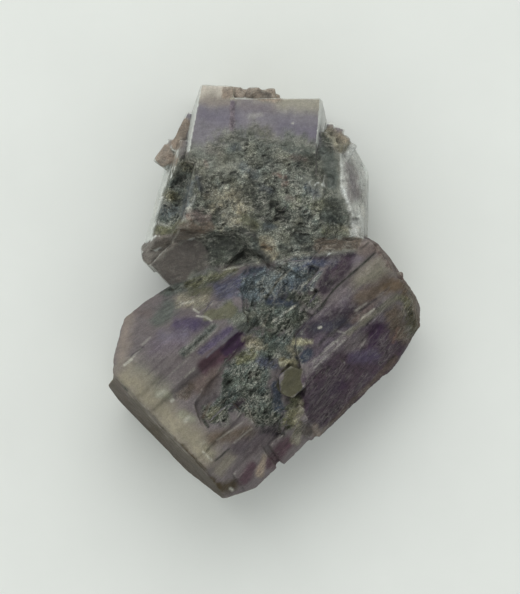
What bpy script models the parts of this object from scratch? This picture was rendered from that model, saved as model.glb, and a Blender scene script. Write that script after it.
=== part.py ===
"""Aragonite cluster: two stout six-sided crystals grown into each other, with small crystals on their edges.

Every crystal is cut from a block by its faces. Prism faces are given by a turn about the crystal's long axis
and a point of its cross-section; an odd face is given by a level line across it and its dip. Crystals that
overlap are joined in one solid, and the broken, grainy hollows in their upper faces are cut by rough-bottomed
tools. Lengths are in millimetres until the last step, +Z is up and the origin is on the flat underside.
"""

import math
import random
from collections import namedtuple

import bmesh
import bpy
from mathutils import Matrix, Vector, noise

MM = 0.001
NAME = "aragonite_cluster"
BLOCK = 90.0  # side of the block that a crystal is cut from
HOLLOW_EDGE = 2.6  # a hollow's floor rises to its edge over this distance
HOLLOW_LIFT = 1.5  # by this much
UPRIGHT_DEPTH = 5.0  # how deep a crystal that stands on end is rooted
SEED = 7

# A crystal's own frame has X along its axis towards the head, Y to the left of that and Z up.
# faces: (turn from straight up towards the left, distance to the left, distance up) of a point on the face.
Crystal = namedtuple("Crystal", "centre bearing fall faces foot head flats")
Flat = namedtuple("Flat", "x y z bearing dip")  # through a level line, dipping down to the left of the line
Blade = namedtuple("Blade", "left right top foot head left_turn right_turn reach")
Small = namedtuple("Small", "x y z bearing rise length width height")
Hollow = namedtuple("Hollow", "outline floor slope grain amount stretch")
Cluster = namedtuple("Cluster", "x y z spread_x spread_y bearing size count")

# ---------------------------------------------------------------- lower crystal

LOWER_CENTRE = (-0.24, -6.57, 11.9)
LOWER_BEARING = 44.0
LOWER_FALL = 8.0
LOWER_REACH = 15.0  # how far the lower crystal's right side stands out from its axis
FLANK_END = (
    Flat(-21.6, -7.0, 15.0, 77.0, 90.0),  # broken end of the flank
    Flat(-22.1, -10.8, 13.0, 92.0, 90.0),
)
LOWER_FLATS = (
    Flat(-17.5, -1.0, 15.0, 28.0, 58.0),  # flank towards the upper crystal
    Flat(-17.6, -1.2, 10.0, 32.0, 90.0),
    Flat(-7.3, 3.2, 22.5, 22.0, 74.0),  # contact with the upper crystal, in two parts
    Flat(6.6, 6.6, 21.5, 5.0, 74.0),
    Flat(21.9, -6.2, 14.0, -118.5, 78.0),  # worn corner at the right
    Flat(22.4, -2.4, 14.0, -83.0, 80.0),
    Flat(21.7, -0.75, 16.0, -64.0, 80.0),
    Flat(19.8, 3.3, 18.0, -53.0, 78.0),
    Flat(-5.0, -30.6, 8.0, 198.0, 88.0),  # worn corner at the foot
)
LOWER_BLADES = (
    Blade(14.0, 3.8, 12.0, -21.3, 0.6, 52, -50, 15.0),
    Blade(10.2, 6.8, 12.35, -21.15, -7.0, 30, -30, 15.0),
    Blade(8.6, 4.9, 11.3, 1.0, 13.0, 60, -55, 15.0),
    Blade(4.6, 2.3, 11.5, 7.5, 19.0, 65, -50, 15.0),
    Blade(2.0, -2.5, 11.7, 5.5, 19.7, 65, -70, 15.0),
    Blade(-2.8, -20.0, 11.9, -6.2, 20.0, 74, -50, 16.3),
    Blade(-3.2, -6.0, 12.3, 2.5, 20.6, 60, -28, 16.3),
    Blade(-7.6, -20.0, 12.0, 7.0, 18.9, 30, -52, 16.0),
    Blade(-2.2, -5.8, 11.6, -21.35, -11.5, 60, -62, 15.0),
    Blade(-5.4, -8.2, 11.2, -21.2, -10.0, 50, -60, 15.0),
    Blade(-8.8, -11.2, 10.3, -21.1, -9.5, 50, -56, 15.0),
    Blade(-12.0, -20.0, 8.6, -18.4, -12.6, 60, -52, 15.5),
    Blade(-12.6, -20.0, 7.6, -11.6, -5.5, 60, -56, 15.9),
    Blade(-9.2, -20.0, 10.9, -5.0, 4.5, 60, -54, 16.8),
    Blade(-10.8, -20.0, 9.6, 3.5, 16.5, 50, -56, 16.8),
    Blade(-12.8, -20.0, 8.0, 9.0, 14.5, 50, -60, 17.0),
    Blade(5.6, 1.0, 11.35, 12.5, 19.6, 60, -60, 15.0),
    Blade(13.2, 10.8, 11.2, -12.0, -2.0, 54, -20, 15.0),
)

# A slab across the foot, whose left corner stands out beyond the flank's broken end.
LOWER_FOOT = Blade(10.9, -20.0, 10.4, -21.4, -18.9, 90, -52, 15.0)

# The slope from the foot's rim down to the hollow: a blade whose top is this flat and not level with its axis.
LOWER_RAMP = Blade(3.9, -2.6, 11.7, -21.25, -5.0, 60, -60, 15.0)
LOWER_RAMP_TOP = Flat(-14.5, -19.4, 26.4, -46.0, 13.7)

# ---------------------------------------------------------------- upper crystal

WEST_RIDGE = Flat(-9.5, 29.6, 21.3, 79.0, 82.0)
UPPER_MAIN = Crystal(
    (0.0, 16.0, 10.7),
    90.0,
    0.8,
    ((0, 0.0, 10.6), (112, 11.6, -2.5), (180, 0.0, -11.5), (-112, -10.2, -2.0)),
    15.0,
    12.3,
    (
        WEST_RIDGE,
        Flat(-10.3, 28.6, 14.0, 70.0, 88.0),
        Flat(8.05, 28.0, 21.3, -94.0, 84.0),
        Flat(8.9, 27.3, 12.0, -66.0, 91.0),
        Flat(-11.0, 7.9, 20.3, 160.0, 50.0),
    ),
)
UPPER_SHOULDER = Crystal(
    (-6.0, 17.0, 10.7),
    87.0,
    0.4,
    ((0, 0.0, 10.72), (112, 6.6, -2.5), (180, 0.0, -10.5), (-90, -0.7, 0.0)),
    9.0,
    13.2,
    (Flat(-9.52, 29.6, 21.32, 79.2, 82.0), Flat(-10.3, 28.6, 14.0, 70.0, 88.0)),
)
# The dark slope at the lower left, cut out of the main crystal and its shoulder between two faces.
UPPER_NOTCH = (Flat(-12.4, 8.8, 20.3, 183.0, 66.0), Flat(-3.9, 9.3, 20.3, 133.0, 60.0))
UPPER_WEST = Crystal(
    (-12.0, 13.5, 9.2),
    75.0,
    1.5,
    ((0, 0.0, 9.9), (79, 2.6, 9.9), (112, 4.2, 0.0), (180, 0.0, -10.5), (-90, -6.0, 0.0)),
    8.4,
    8.4,
    (Flat(-15.3, 7.9, 18.9, 200.0, 62.0),),
)
UPPER_EAST = Crystal(
    (12.0, 14.5, 9.0),
    92.0,
    0.0,
    ((-4, 0.0, 10.0), (96, 9.0, 0.0), (180, 0.0, -9.6)),
    8.2,
    9.2,
    (
        Flat(11.3, 20.6, 19.0, -80.0, 62.0),
        Flat(14.0, 20.8, 9.0, -61.0, 74.0),
        Flat(14.0, 20.8, 8.0, -61.0, 106.0),
        Flat(15.6, 17.8, 9.0, -91.0, 84.0),
        Flat(15.6, 17.8, 7.0, -91.0, 118.0),
    ),
)
UPPER_ENDS = (
    Crystal(
        (-14.6, 8.3, 9.0),
        44.0,
        -7.0,
        ((8, 0.0, 7.4), (78, 1.3, 5.0), (112, 1.3, 2.0), (180, 0.0, -9.5), (-90, -2.6, 0.0)),
        4.3,
        5.0,
        (Flat(-18.4, 5.2, 12.0, 96.0, 90.0),),
    ),
    Crystal(
        (-10.6, 7.0, 9.0),
        44.0,
        -8.0,
        ((0, 0.0, 8.6), (84, 2.4, 8.0), (180, 0.0, -9.5), (-84, -6.0, 5.0)),
        5.7,
        12.0,
        (),
    ),
)

# ---------------------------------------------------------------- small crystals

SMALL = (
    # the row along the top end of the upper crystal
    Small(-5.6, 28.4, 18.6, 90, 2, 1.5, 1.7, 2.6),
    Small(-4.4, 28.5, 19.3, 92, 4, 1.7, 1.9, 2.2),
    Small(-2.9, 28.4, 18.9, 88, 3, 1.5, 1.6, 2.4),
    Small(-1.6, 28.4, 19.3, 91, 5, 1.8, 1.7, 2.0),
    Small(-0.2, 28.3, 18.9, 86, 3, 1.5, 1.5, 2.2),
    Small(0.9, 28.3, 19.2, 92, 2, 1.7, 1.3, 2.0),
    Small(1.7, 28.2, 18.6, 89, 2, 1.0, 1.0, 1.8),
    Small(-3.6, 28.2, 19.9, 90, 2, 1.2, 1.4, 1.2),
    # the strip and the squared crystal on the left
    Small(-11.7, 24.8, 15.2, 64, 3, 1.9, 1.6, 2.2),
    Small(-12.1, 23.6, 15.0, 60, 3, 2.1, 1.8, 2.6),
    Small(-12.6, 22.3, 15.2, 58, 2, 2.2, 1.9, 2.4),
    Small(-12.8, 21.0, 15.0, 55, 3, 2.0, 1.7, 2.2),
    Small(-14.8, 20.1, 14.6, 55, 2, 2.6, 2.5, 2.8),
    # the cluster between the upper crystal and its east side
    Small(9.4, 22.9, 17.2, 84, 12, 2.2, 1.4, 2.0),
    Small(10.4, 22.2, 17.0, 72, 8, 2.3, 1.5, 2.2),
    Small(11.2, 21.2, 17.0, 66, 10, 2.0, 1.4, 2.0),
    Small(9.6, 21.2, 18.2, 85, 10, 1.8, 1.4, 1.8),
    Small(10.6, 20.3, 18.2, 74, 14, 1.7, 1.5, 1.6),
    Small(12.3, 20.6, 16.6, 60, 10, 1.6, 1.3, 1.8),
)
UPRIGHT = (
    # short crystals that stand end-on in the lower crystal's face: x, y, top, across, along, bearing
    (-6.9, -2.8, 24.4, 3.2, 4.0, 30.0),
    (3.9, -13.1, 24.4, 3.8, 4.3, 70.0),
)

# ---------------------------------------------------------------- hollows

UPPER_HOLLOWS = (
    Hollow(
        ((-9.6, 18.2), (-6.0, 20.4), (-2.6, 22.0), (1.0, 21.4), (4.0, 20.6), (7.6, 20.8), (9.0, 18.0), (9.6, 9.0),
         (9.4, 5.0), (2.0, 4.4), (-5.0, 3.0), (-9.0, 6.0), (-12.4, 7.6), (-13.4, 9.0), (-11.0, 15.0)),
        19.4, (-0.07, 0.055), 0.8, 0.85, (1.0, 1.0)),
    Hollow(
        ((-10.4, 18.8), (-12.0, 19.4), (-13.6, 18.4), (-16.8, 12.0), (-18.2, 7.2), (-14.8, 7.0), (-12.0, 11.0)),
        17.6, (0.0, 0.0), 0.8, 0.8, (1.0, 1.0)),
    Hollow(
        ((7.9, 19.6), (9.8, 18.0), (10.6, 15.6), (11.2, 12.6), (13.2, 9.8), (13.8, 6.0), (7.6, 5.0)),
        18.4, (0.0, 0.0), 0.8, 0.85, (1.0, 1.0)),
)
LOWER_HOLLOWS = (
    Hollow(
        ((-17.4, -3.3), (-15.6, 0.0), (-12.0, 1.0), (-6.0, 1.3), (-2.0, 2.2), (-1.0, 5.0), (3.0, 9.4), (9.0, 10.0),
         (15.2, 5.6), (13.6, 3.4), (10.4, 3.2), (11.6, 1.4), (8.0, 0.8), (9.0, -0.8), (5.0, -1.3), (6.0, -2.8),
         (2.0, -3.2), (0.5, -4.6), (-1.6, -8.4), (-4.6, -13.6), (-7.0, -13.4), (-9.6, -14.6), (-10.2, -11.0),
         (-11.2, -8.0), (-9.8, -4.4), (-13.0, -3.4)),
        9.3, (-0.01, 0.02), 0.8, 0.85, (0.45, 1.0)),
)

# Crumbs of small crystals. The lower crystal's are placed in its own frame and the upper's in the cluster's.
LOWER_CLUSTERS = (
    Cluster(-0.2, -6.6, 10.4, 1.9, 1.3, 44.0, 1.3, 9),
    Cluster(-5.6, -11.2, 9.6, 2.6, 1.2, 30.0, 1.2, 10),
    Cluster(-3.2, 5.2, 11.3, 2.6, 1.4, 44.0, 1.1, 9),
    Cluster(18.2, -8.2, 11.0, 1.4, 2.6, 44.0, 1.0, 8),
)
UPPER_CLUSTERS = (
    Cluster(-1.2, 4.2, 20.6, 1.6, 1.2, 80.0, 1.2, 8),
    Cluster(13.2, 8.0, 19.2, 1.7, 1.1, 20.0, 1.3, 8),
    Cluster(-6.4, 12.8, 19.9, 3.4, 2.6, 60.0, 1.0, 12),
    Cluster(4.0, 13.0, 19.6, 4.2, 4.2, 90.0, 0.95, 16),
    Cluster(-14.0, 13.4, 18.0, 1.8, 3.4, 72.0, 0.85, 8),
)


def turn(bearing, fall):
    """Turns a crystal's own frame to its place in the cluster."""
    return Matrix.Rotation(math.radians(bearing), 3, "Z") @ Matrix.Rotation(math.radians(fall), 3, "Y")


def face_plane(angle, left, up):
    """A prism face in a crystal's frame, as its outward normal and its distance from the axis."""
    normal = Vector((0, math.sin(math.radians(angle)), math.cos(math.radians(angle))))
    return normal, normal.dot(Vector((0, left, up)))


def flat_plane(flat):
    """An odd face as its outward normal and its distance from the origin of the cluster."""
    bearing, dip = math.radians(flat.bearing), math.radians(flat.dip)
    outward = Vector((-math.sin(bearing), math.cos(bearing), 0))
    normal = outward * math.sin(dip) + Vector((0, 0, math.cos(dip)))
    return normal, normal.dot(Vector((flat.x, flat.y, flat.z)))


def crystal_planes(crystal):
    """Every face of a crystal as an outward normal and its distance from the origin of the cluster."""
    placed = turn(crystal.bearing, crystal.fall)
    centre = Vector(crystal.centre)
    own = [face_plane(*face) for face in crystal.faces]
    own += [(Vector((1, 0, 0)), crystal.head), (Vector((-1, 0, 0)), crystal.foot)]
    planes = []
    for normal, distance in own:
        normal = placed @ normal
        planes.append((normal, distance + normal.dot(centre)))
    return planes + [flat_plane(flat) for flat in crystal.flats]


def lower_faces(top, reach):
    """The faces around the lower crystal's axis, for a top face and a right side at these distances."""
    return (
        (0, 0.0, top),
        (54, 17.0, 3.8),
        (118, 17.0, 3.8),
        (180, 0.0, -12.4),
        (-118, -reach, 2.8),
        (-50, -reach, 2.8),
    )


def lower_core():
    """The body of the lower crystal, which its blades stand on."""
    faces = lower_faces(10.6, LOWER_REACH)
    return Crystal(LOWER_CENTRE, LOWER_BEARING, LOWER_FALL, faces, 21.0, 19.1, LOWER_FLATS + FLANK_END)


def blade_crystal(blade, flats=FLANK_END):
    """A blade of the lower crystal, trimmed by the lower crystal's own faces and by these flats."""
    sides = ((blade.left_turn, blade.left, blade.top), (blade.right_turn, blade.right, blade.top))
    faces = lower_faces(blade.top, blade.reach) + sides
    return Crystal(LOWER_CENTRE, LOWER_BEARING, LOWER_FALL, faces, -blade.foot, blade.head, LOWER_FLATS + flats)


def cut_block(planes):
    """A block cut down to what lies inside every plane."""
    mesh = bmesh.new()
    bmesh.ops.create_cube(mesh, size=2 * BLOCK)
    for normal, distance in planes:
        whole = mesh.verts[:] + mesh.edges[:] + mesh.faces[:]
        cut = bmesh.ops.bisect_plane(
            mesh, geom=whole, plane_co=normal * distance, plane_no=normal, clear_outer=True
        )
        rim = [item for item in cut["geom_cut"] if isinstance(item, bmesh.types.BMEdge)]
        if rim:
            bmesh.ops.contextual_create(mesh, geom=rim)
    bmesh.ops.recalc_face_normals(mesh, faces=mesh.faces)
    return mesh


def small_mesh(small):
    """A small six-sided crystal with its foot at the given point, rising along its bearing."""
    placed = turn(small.bearing, -small.rise)
    half, tall = small.width / 2, small.height / 2
    slant = 0.585 * (half + tall)
    centre = Vector((small.x, small.y, small.z))
    own = [face_plane(angle, 0.0, 0.0)[0] for angle in (0, 55, 90, 125, 180, -125, -90, -55)]
    reach = (tall, slant, half, slant)
    planes = [(placed @ normal, reach[index % 4]) for index, normal in enumerate(own)]
    planes += [(placed @ Vector((1, 0, 0)), small.length), (placed @ Vector((-1, 0, 0)), 1.5)]
    return cut_block([(normal, distance + normal.dot(centre)) for normal, distance in planes])


def upright_mesh(x, y, top, across, along, bearing):
    """A short six-sided crystal that stands on end, its end face sloping a little."""
    planes = [(turn(bearing, 7.0) @ Vector((0, 0, 1)), 0.0), (Vector((0, 0, -1)), UPRIGHT_DEPTH)]
    for step in range(6):
        side = turn(bearing + 60 * step, 0.0) @ Vector((1, 0, -0.12)).normalized()
        planes.append((side, (across if step % 3 else along) / 2))
    centre = Vector((x, y, top))
    return cut_block([(normal, distance + normal.dot(centre)) for normal, distance in planes])


def rough(point, stretch):
    """Uneven, grainy height between about -1 and 1 at a point of a hollow's floor."""
    at = Vector((point.x * stretch[0], point.y * stretch[1], 3.7))
    broad = noise.noise(at * 0.33) * 1.3
    lumps = noise.noise(at * 0.95 + Vector((9, 4, 0))) * 0.9
    return broad + lumps + 0.35 * noise.noise(at * 2.3)


def edge_distance(point, outline):
    """How far a point is, seen from above, from the nearest side of an outline."""
    nearest = BLOCK
    for start, end in zip(outline, outline[1:] + outline[:1]):
        start, side = Vector(start), Vector(end) - Vector(start)
        along = max(0.0, min(1.0, (point.to_2d() - start).dot(side) / side.length_squared))
        nearest = min(nearest, (point.to_2d() - start - side * along).length)
    return nearest


def hollow_mesh(hollow, rng):
    """The tool that cuts a hollow: a prism over its outline whose underside is rough."""
    mesh = bmesh.new()
    face = mesh.faces.new([mesh.verts.new((x, y, hollow.floor)) for x, y in hollow.outline])
    if face.normal.z > 0:
        face.normal_flip()
    over = bmesh.ops.extrude_face_region(mesh, geom=[face], use_keep_orig=True)
    lifted = [item for item in over["geom"] if isinstance(item, bmesh.types.BMVert)]
    bmesh.ops.translate(mesh, verts=lifted, vec=(0, 0, 12))
    for axis in (0, 1):
        low = min(point[axis] for point in hollow.outline)
        high = max(point[axis] for point in hollow.outline)
        lines = int((high - low) / hollow.grain)
        for line in range(1, lines + 1):
            place, normal = Vector((0, 0, 0)), Vector((0, 0, 0))
            place[axis] = low + (line + rng.uniform(-0.1, 0.1)) * hollow.grain
            normal[axis], normal[1 - axis] = 1.0, rng.uniform(-0.02, 0.02)
            under = [item for item in mesh.faces if all(v.co.z < hollow.floor + 1 for v in item.verts)]
            edges = {edge for item in under for edge in item.edges}
            verts = {vert for item in under for vert in item.verts}
            geom = list(verts) + list(edges) + under
            bmesh.ops.bisect_plane(mesh, geom=geom, plane_co=place, plane_no=normal)
    for vert in [vert for vert in mesh.verts if vert.co.z < hollow.floor + 1]:
        inside = edge_distance(vert.co, hollow.outline)
        rise = max(0.0, 1.0 - inside / HOLLOW_EDGE) ** 2
        vert.co.z += hollow.slope[0] * vert.co.x + hollow.slope[1] * vert.co.y
        vert.co.z += hollow.amount * rough(vert.co, hollow.stretch) + HOLLOW_LIFT * rise
        if inside > 0.05:
            vert.co.x += rng.uniform(-0.22, 0.22) * hollow.grain
            vert.co.y += rng.uniform(-0.22, 0.22) * hollow.grain
    bmesh.ops.triangulate(mesh, faces=mesh.faces)
    bmesh.ops.recalc_face_normals(mesh, faces=mesh.faces)
    return mesh


def cluster_meshes(cluster, rng):
    """The crumbs of a cluster: small six-sided crystals lying about its place at many angles."""
    crumbs = []
    for _ in range(cluster.count):
        across, along = rng.gauss(0, 0.5) * cluster.spread_x, rng.gauss(0, 0.5) * cluster.spread_y
        size = cluster.size * rng.uniform(0.6, 1.25)
        crumb = Small(
            cluster.x + across,
            cluster.y + along,
            cluster.z + rng.uniform(-0.45, 0.25),
            cluster.bearing + rng.uniform(-50, 50),
            rng.uniform(-15, 50),
            size * rng.uniform(0.4, 0.9),
            size,
            size * rng.uniform(0.7, 1.1),
        )
        crumbs.append(small_mesh(crumb))
    return crumbs


def as_object(name, mesh, place=None):
    """Turns a bmesh into an object of the scene."""
    data = bpy.data.meshes.new(name)
    if place is not None:
        mesh.transform(place)
    mesh.to_mesh(data)
    mesh.free()
    made = bpy.data.objects.new(name, data)
    bpy.context.scene.collection.objects.link(made)
    return made


def combine(body, tool, operation):
    """Joins a tool to the body or cuts it away, and keeps only the body."""
    step = body.modifiers.new("step", "BOOLEAN")
    step.operation = operation
    step.solver = "MANIFOLD"  # the exact solver drops faces where rough floors meet many small crystals
    step.object = tool
    graph = bpy.context.evaluated_depsgraph_get()
    result = bpy.data.meshes.new_from_object(body.evaluated_get(graph))
    body.modifiers.clear()
    body.data = result
    bpy.data.objects.remove(tool)


def keep_largest(mesh):
    """Keeps the largest connected surface, so crumbs that nothing holds and bubbles between crystals go."""
    left, shells = set(mesh.verts), []
    while left:
        start = left.pop()
        shell, edge_of_shell = {start}, [start]
        while edge_of_shell:
            vert = edge_of_shell.pop()
            for edge in vert.link_edges:
                other = edge.other_vert(vert)
                if other in left:
                    left.discard(other)
                    shell.add(other)
                    edge_of_shell.append(other)
        shells.append(shell)
    largest = max(shells, key=len)
    spare = [vert for shell in shells if shell is not largest for vert in shell]
    bmesh.ops.delete(mesh, geom=spare, context="VERTS")


def clear_scene():
    """Removes whatever the new file starts with."""
    for item in list(bpy.data.objects):
        bpy.data.objects.remove(item)


def stone():
    """The one material of the part."""
    material = bpy.data.materials.new("aragonite")
    material.use_nodes = True
    shader = material.node_tree.nodes["Principled BSDF"]
    shader.inputs["Base Color"].default_value = (0.17, 0.14, 0.16, 1.0)
    shader.inputs["Roughness"].default_value = 0.4
    return material


def lower_place():
    """The lower crystal's frame as a four by four matrix."""
    place = turn(LOWER_BEARING, LOWER_FALL).to_4x4()
    place.translation = Vector(LOWER_CENTRE)
    return place


def build():
    """Makes the cluster."""
    rng = random.Random(SEED)
    noise.seed_set(SEED)
    clear_scene()
    upper = as_object(NAME, cut_block(crystal_planes(UPPER_MAIN)))
    combine(upper, as_object("tool", cut_block(crystal_planes(UPPER_SHOULDER))), "UNION")
    notch = [(-normal, -distance) for normal, distance in map(flat_plane, UPPER_NOTCH)]
    combine(upper, as_object("tool", cut_block(notch)), "DIFFERENCE")
    for crystal in (UPPER_WEST, UPPER_EAST) + UPPER_ENDS:
        combine(upper, as_object("tool", cut_block(crystal_planes(crystal))), "UNION")
    for hollow in UPPER_HOLLOWS:
        combine(upper, as_object("tool", hollow_mesh(hollow, rng)), "DIFFERENCE")
    for small in SMALL:
        combine(upper, as_object("tool", small_mesh(small)), "UNION")
    for cluster in UPPER_CLUSTERS:
        for crumb in cluster_meshes(cluster, rng):
            combine(upper, as_object("tool", crumb), "UNION")
    lower = as_object("lower", cut_block(crystal_planes(lower_core())))
    for blade in LOWER_BLADES:
        combine(lower, as_object("tool", cut_block(crystal_planes(blade_crystal(blade)))), "UNION")
    for blade, flats in ((LOWER_RAMP, FLANK_END + (LOWER_RAMP_TOP,)), (LOWER_FOOT, ())):
        combine(lower, as_object("tool", cut_block(crystal_planes(blade_crystal(blade, flats)))), "UNION")
    for hollow in LOWER_HOLLOWS:
        combine(lower, as_object("tool", hollow_mesh(hollow, rng), lower_place()), "DIFFERENCE")
    for upright in UPRIGHT:
        combine(lower, as_object("tool", upright_mesh(*upright)), "UNION")
    for cluster in LOWER_CLUSTERS:
        for crumb in cluster_meshes(cluster, rng):
            combine(lower, as_object("tool", crumb, lower_place()), "UNION")
    combine(upper, lower, "UNION")
    ground = cut_block([(Vector((0, 0, 1)), 0.0)])
    combine(upper, as_object("tool", ground), "DIFFERENCE")
    return upper


def finish(body):
    """Turns millimetres into metres and gives the part its collection and material."""
    mesh = bmesh.new()
    mesh.from_mesh(body.data)
    keep_largest(mesh)
    bmesh.ops.triangulate(mesh, faces=mesh.faces)
    bmesh.ops.scale(mesh, vec=(MM, MM, MM), verts=mesh.verts)
    mesh.to_mesh(body.data)
    mesh.free()
    body.data.name = NAME
    body.data.materials.clear()
    body.data.materials.append(stone())
    collection = bpy.data.collections.new(NAME)
    bpy.context.scene.collection.children.link(collection)
    collection.objects.link(body)
    bpy.context.scene.collection.objects.unlink(body)


finish(build())
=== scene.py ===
"""Aragonite cluster lying on a pale table, seen from straight above in soft window light.

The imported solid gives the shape. A fine copy of it gets its relief in millimetres: striations along the two
crystals' axes on the smooth faces, and threads and pits in the rough matrix. Zones of colour are laid over it
by place, each with its own graininess, and the material adds the finest speckle. The copy is then split into
pieces that touch without a gap, since one piece may not hold all its triangles.
"""

import math
from collections import namedtuple

import bmesh
import bpy
import numpy as np
from mathutils import Matrix, Vector


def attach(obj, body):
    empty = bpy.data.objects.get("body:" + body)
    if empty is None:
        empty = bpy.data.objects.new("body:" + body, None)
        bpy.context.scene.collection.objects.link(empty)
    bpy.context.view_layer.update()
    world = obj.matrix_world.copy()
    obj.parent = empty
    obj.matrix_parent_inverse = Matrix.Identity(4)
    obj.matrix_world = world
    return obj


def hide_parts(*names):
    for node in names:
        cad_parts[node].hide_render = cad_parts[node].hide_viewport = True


MM = 0.001
NODE = "aragonite_cluster"
VOXEL = 0.17  # mm between the points of the fine copy
WELD = 0.0001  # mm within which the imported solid's corners are joined again
SOFT_ROUNDS = 10  # times that the fine copy's rough parts are smoothed before their relief is worked
SEAM_BLEND = 0.5  # mm on both sides of the seam over which the two crystals' looks change over
SPLIT_LEVEL = 7.0  # height in mm where the pieces above meet their bases
LOWER_SPLIT = -5.5  # where the lower crystal's left and right pieces meet, in mm across its axis
WIDE_PATCH = 3.2  # a patch less wide than this, in mm, drifts less from its place
STROKES = (-40.0, -8.0, 22.0, 58.0)  # bearings of the short strokes in the matrix, from its fibres
EDGE_ROUNDS, FORM_ROUNDS = 4, 24  # smoothing rounds that tell edges, and broad hollows, from the rest
SEED = 11

# The camera looks straight down from CAMERA_HEIGHT, and sees FRAME_HEIGHT at the level LEVEL, all in mm.
CAMERA_X, CAMERA_Y = -0.75, -0.75
CAMERA_HEIGHT = 450.0
LEVEL = 12.0
FRAME_HEIGHT = 89.1
SENSOR = 36.0
CLIP_START = 0.01  # metres

# The stage. Places and sizes are in metres, and the window's power in watts. The surroundings are WORLD_LOW
# bright near the table and WORLD_HIGH from halfway up, and keep the share WORLD_TOP of that overhead.
TABLE, TABLE_DULL, TABLE_IOR, TABLE_SIZE = (0.71, 0.73, 0.705), 0.6, 1.35, 1.5
WORLD_LOW, WORLD_HIGH, WORLD_TOP = 0.55, 0.915, 0.3
WORLD_TINT = (0.96, 0.985, 0.965)
WINDOW_PLACE, WINDOW_TARGET = (-0.10, 0.55, 0.80), (0.0, 0.0, 0.01)
WINDOW_SIZE, WINDOW_POWER, WINDOW_TINT = 0.9, 5.2, (1.0, 1.0, 0.98)

# The stone. GLOW is how much of the light goes into a clean face, and GLOW_DEPTH how far, in metres.
STONE_IOR, MATRIX_DULL = 1.6, 0.8
GLOW, GLOW_DEPTH, GLOW_TINT = 0.25, 0.0008, (1.0, 0.85, 0.8)
BUMP, BUMP_DEPTH = 0.8, 0.0001

# How high or deep each kind of relief is, in mm: on clean faces and their ends, in matrix, and along edges.
RELIEF = {
    "steps": 0.055, "lines": 0.03, "waves": 0.05, "end_waves": 0.02,
    "lumps": 0.17, "pits": 0.17, "gloom": 0.14, "strokes": 0.07, "grit": 0.04, "fibres": 0.08,
    "fine_fibres": 0.05, "chips": 0.10, "wear_and_highlight": 0.03,
}

# How much each kind of pattern changes the colour, among them the painted shade in pits and hollows, and
# the painted glints and highlights on edges.
TONE = {
    "streaks": 0.16, "mottle": 0.10, "clouds": 0.12, "specks": 0.28, "strokes": 0.42, "lumps": 0.34,
    "warmth": 0.07, "pits": 0.75, "gloom": 0.35, "threads": 0.38, "glints": 0.22, "hollows": 0.5,
    "wear_and_highlight": 0.42,
}

UPPER_AXIS = 90.0  # bearings of the two big crystals, in degrees from +X
LOWER_AXIS = 44.0
LOWER_MIDDLE = -4.9  # the lower crystal's middle, in mm along its axis
NEVER_PALE = (1.0, 2.0)  # a tilt that no face has

# Where the crystals meet, seen from above, from left to right.
SEAM = (
    (-60.0, 0.5), (-14.3, 0.9), (-11.4, 1.7), (-8.5, 3.8), (0.5, 4.2), (4.0, 5.2), (9.0, 5.6), (13.8, 6.2),
    (15.0, 8.5), (60.0, 12.0),
)

# Colours as they look in soft daylight, and how much of that light is the stone's own and not its sheen.
OWN_SHARE = 0.92
PALETTE = {
    "cream": (182, 175, 164),
    "tan": (150, 146, 132),
    "lilac": (112, 108, 115),
    "deep_lilac": (101, 96, 110),
    "lilac_grey": (104, 97, 98),
    "haze": (104, 95, 104),
    "mauve": (82, 74, 82),
    "violet": (72, 63, 86),
    "blue_violet": (72, 73, 92),
    "deep_purple": (52, 34, 56),
    "wine": (76, 56, 64),
    "red_brown": (95, 83, 79),
    "plum": (64, 52, 62),
    "dusk": (54, 46, 54),
    "pink_tan": (131, 121, 114),
    "brown": (88, 77, 66),
    "warm_brown": (92, 76, 58),
    "small_brown": (137, 124, 111),
    "dark_brown": (74, 68, 63),
    "end_brown": (107, 101, 94),
    "rim": (138, 132, 115),
    "foot": (62, 52, 34),
    # the pale of a painted soft highlight
    "soft_highlight": (132, 132, 116),
    "matrix": (98, 101, 92),
    "pale_matrix": (112, 114, 104),
    "grey_green": (77, 84, 79),
    "dark_matrix": (60, 64, 56),
    "blue_matrix": (84, 92, 95),
    "night_blue": (50, 57, 70),
    "black": (36, 38, 33),
    "moss": (94, 94, 72),
    "straw": (122, 118, 102),
    "pale_straw": (146, 142, 118),
    "olive": (98, 97, 80),
    "dark_olive": (74, 72, 56),
    "rust": (108, 82, 73),
    # pale threads and crust, and also painted highlights on crests, edges and specks
    "chalk_and_highlight": (176, 175, 164),
    # the pale of a painted reflection on tilted faces
    "painted_reflection": (206, 209, 204),
    # the pale of a painted reflection on steep facets
    "facet_reflection": (172, 173, 168),
}

# A patch of colour. Its middle line runs from start to end, seen from above, in mm on LEVEL. half is half its
# width, at each end where they differ. grain is how rough and speckled it is, from 0 for a clean face to 1
# for matrix, and edge is how softly it ends. HAIR is the half and the edge of the thinnest lines.
Patch = namedtuple("Patch", "colour grain strength half edge start end")
HAIR = (0.12, 0.12)

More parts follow.
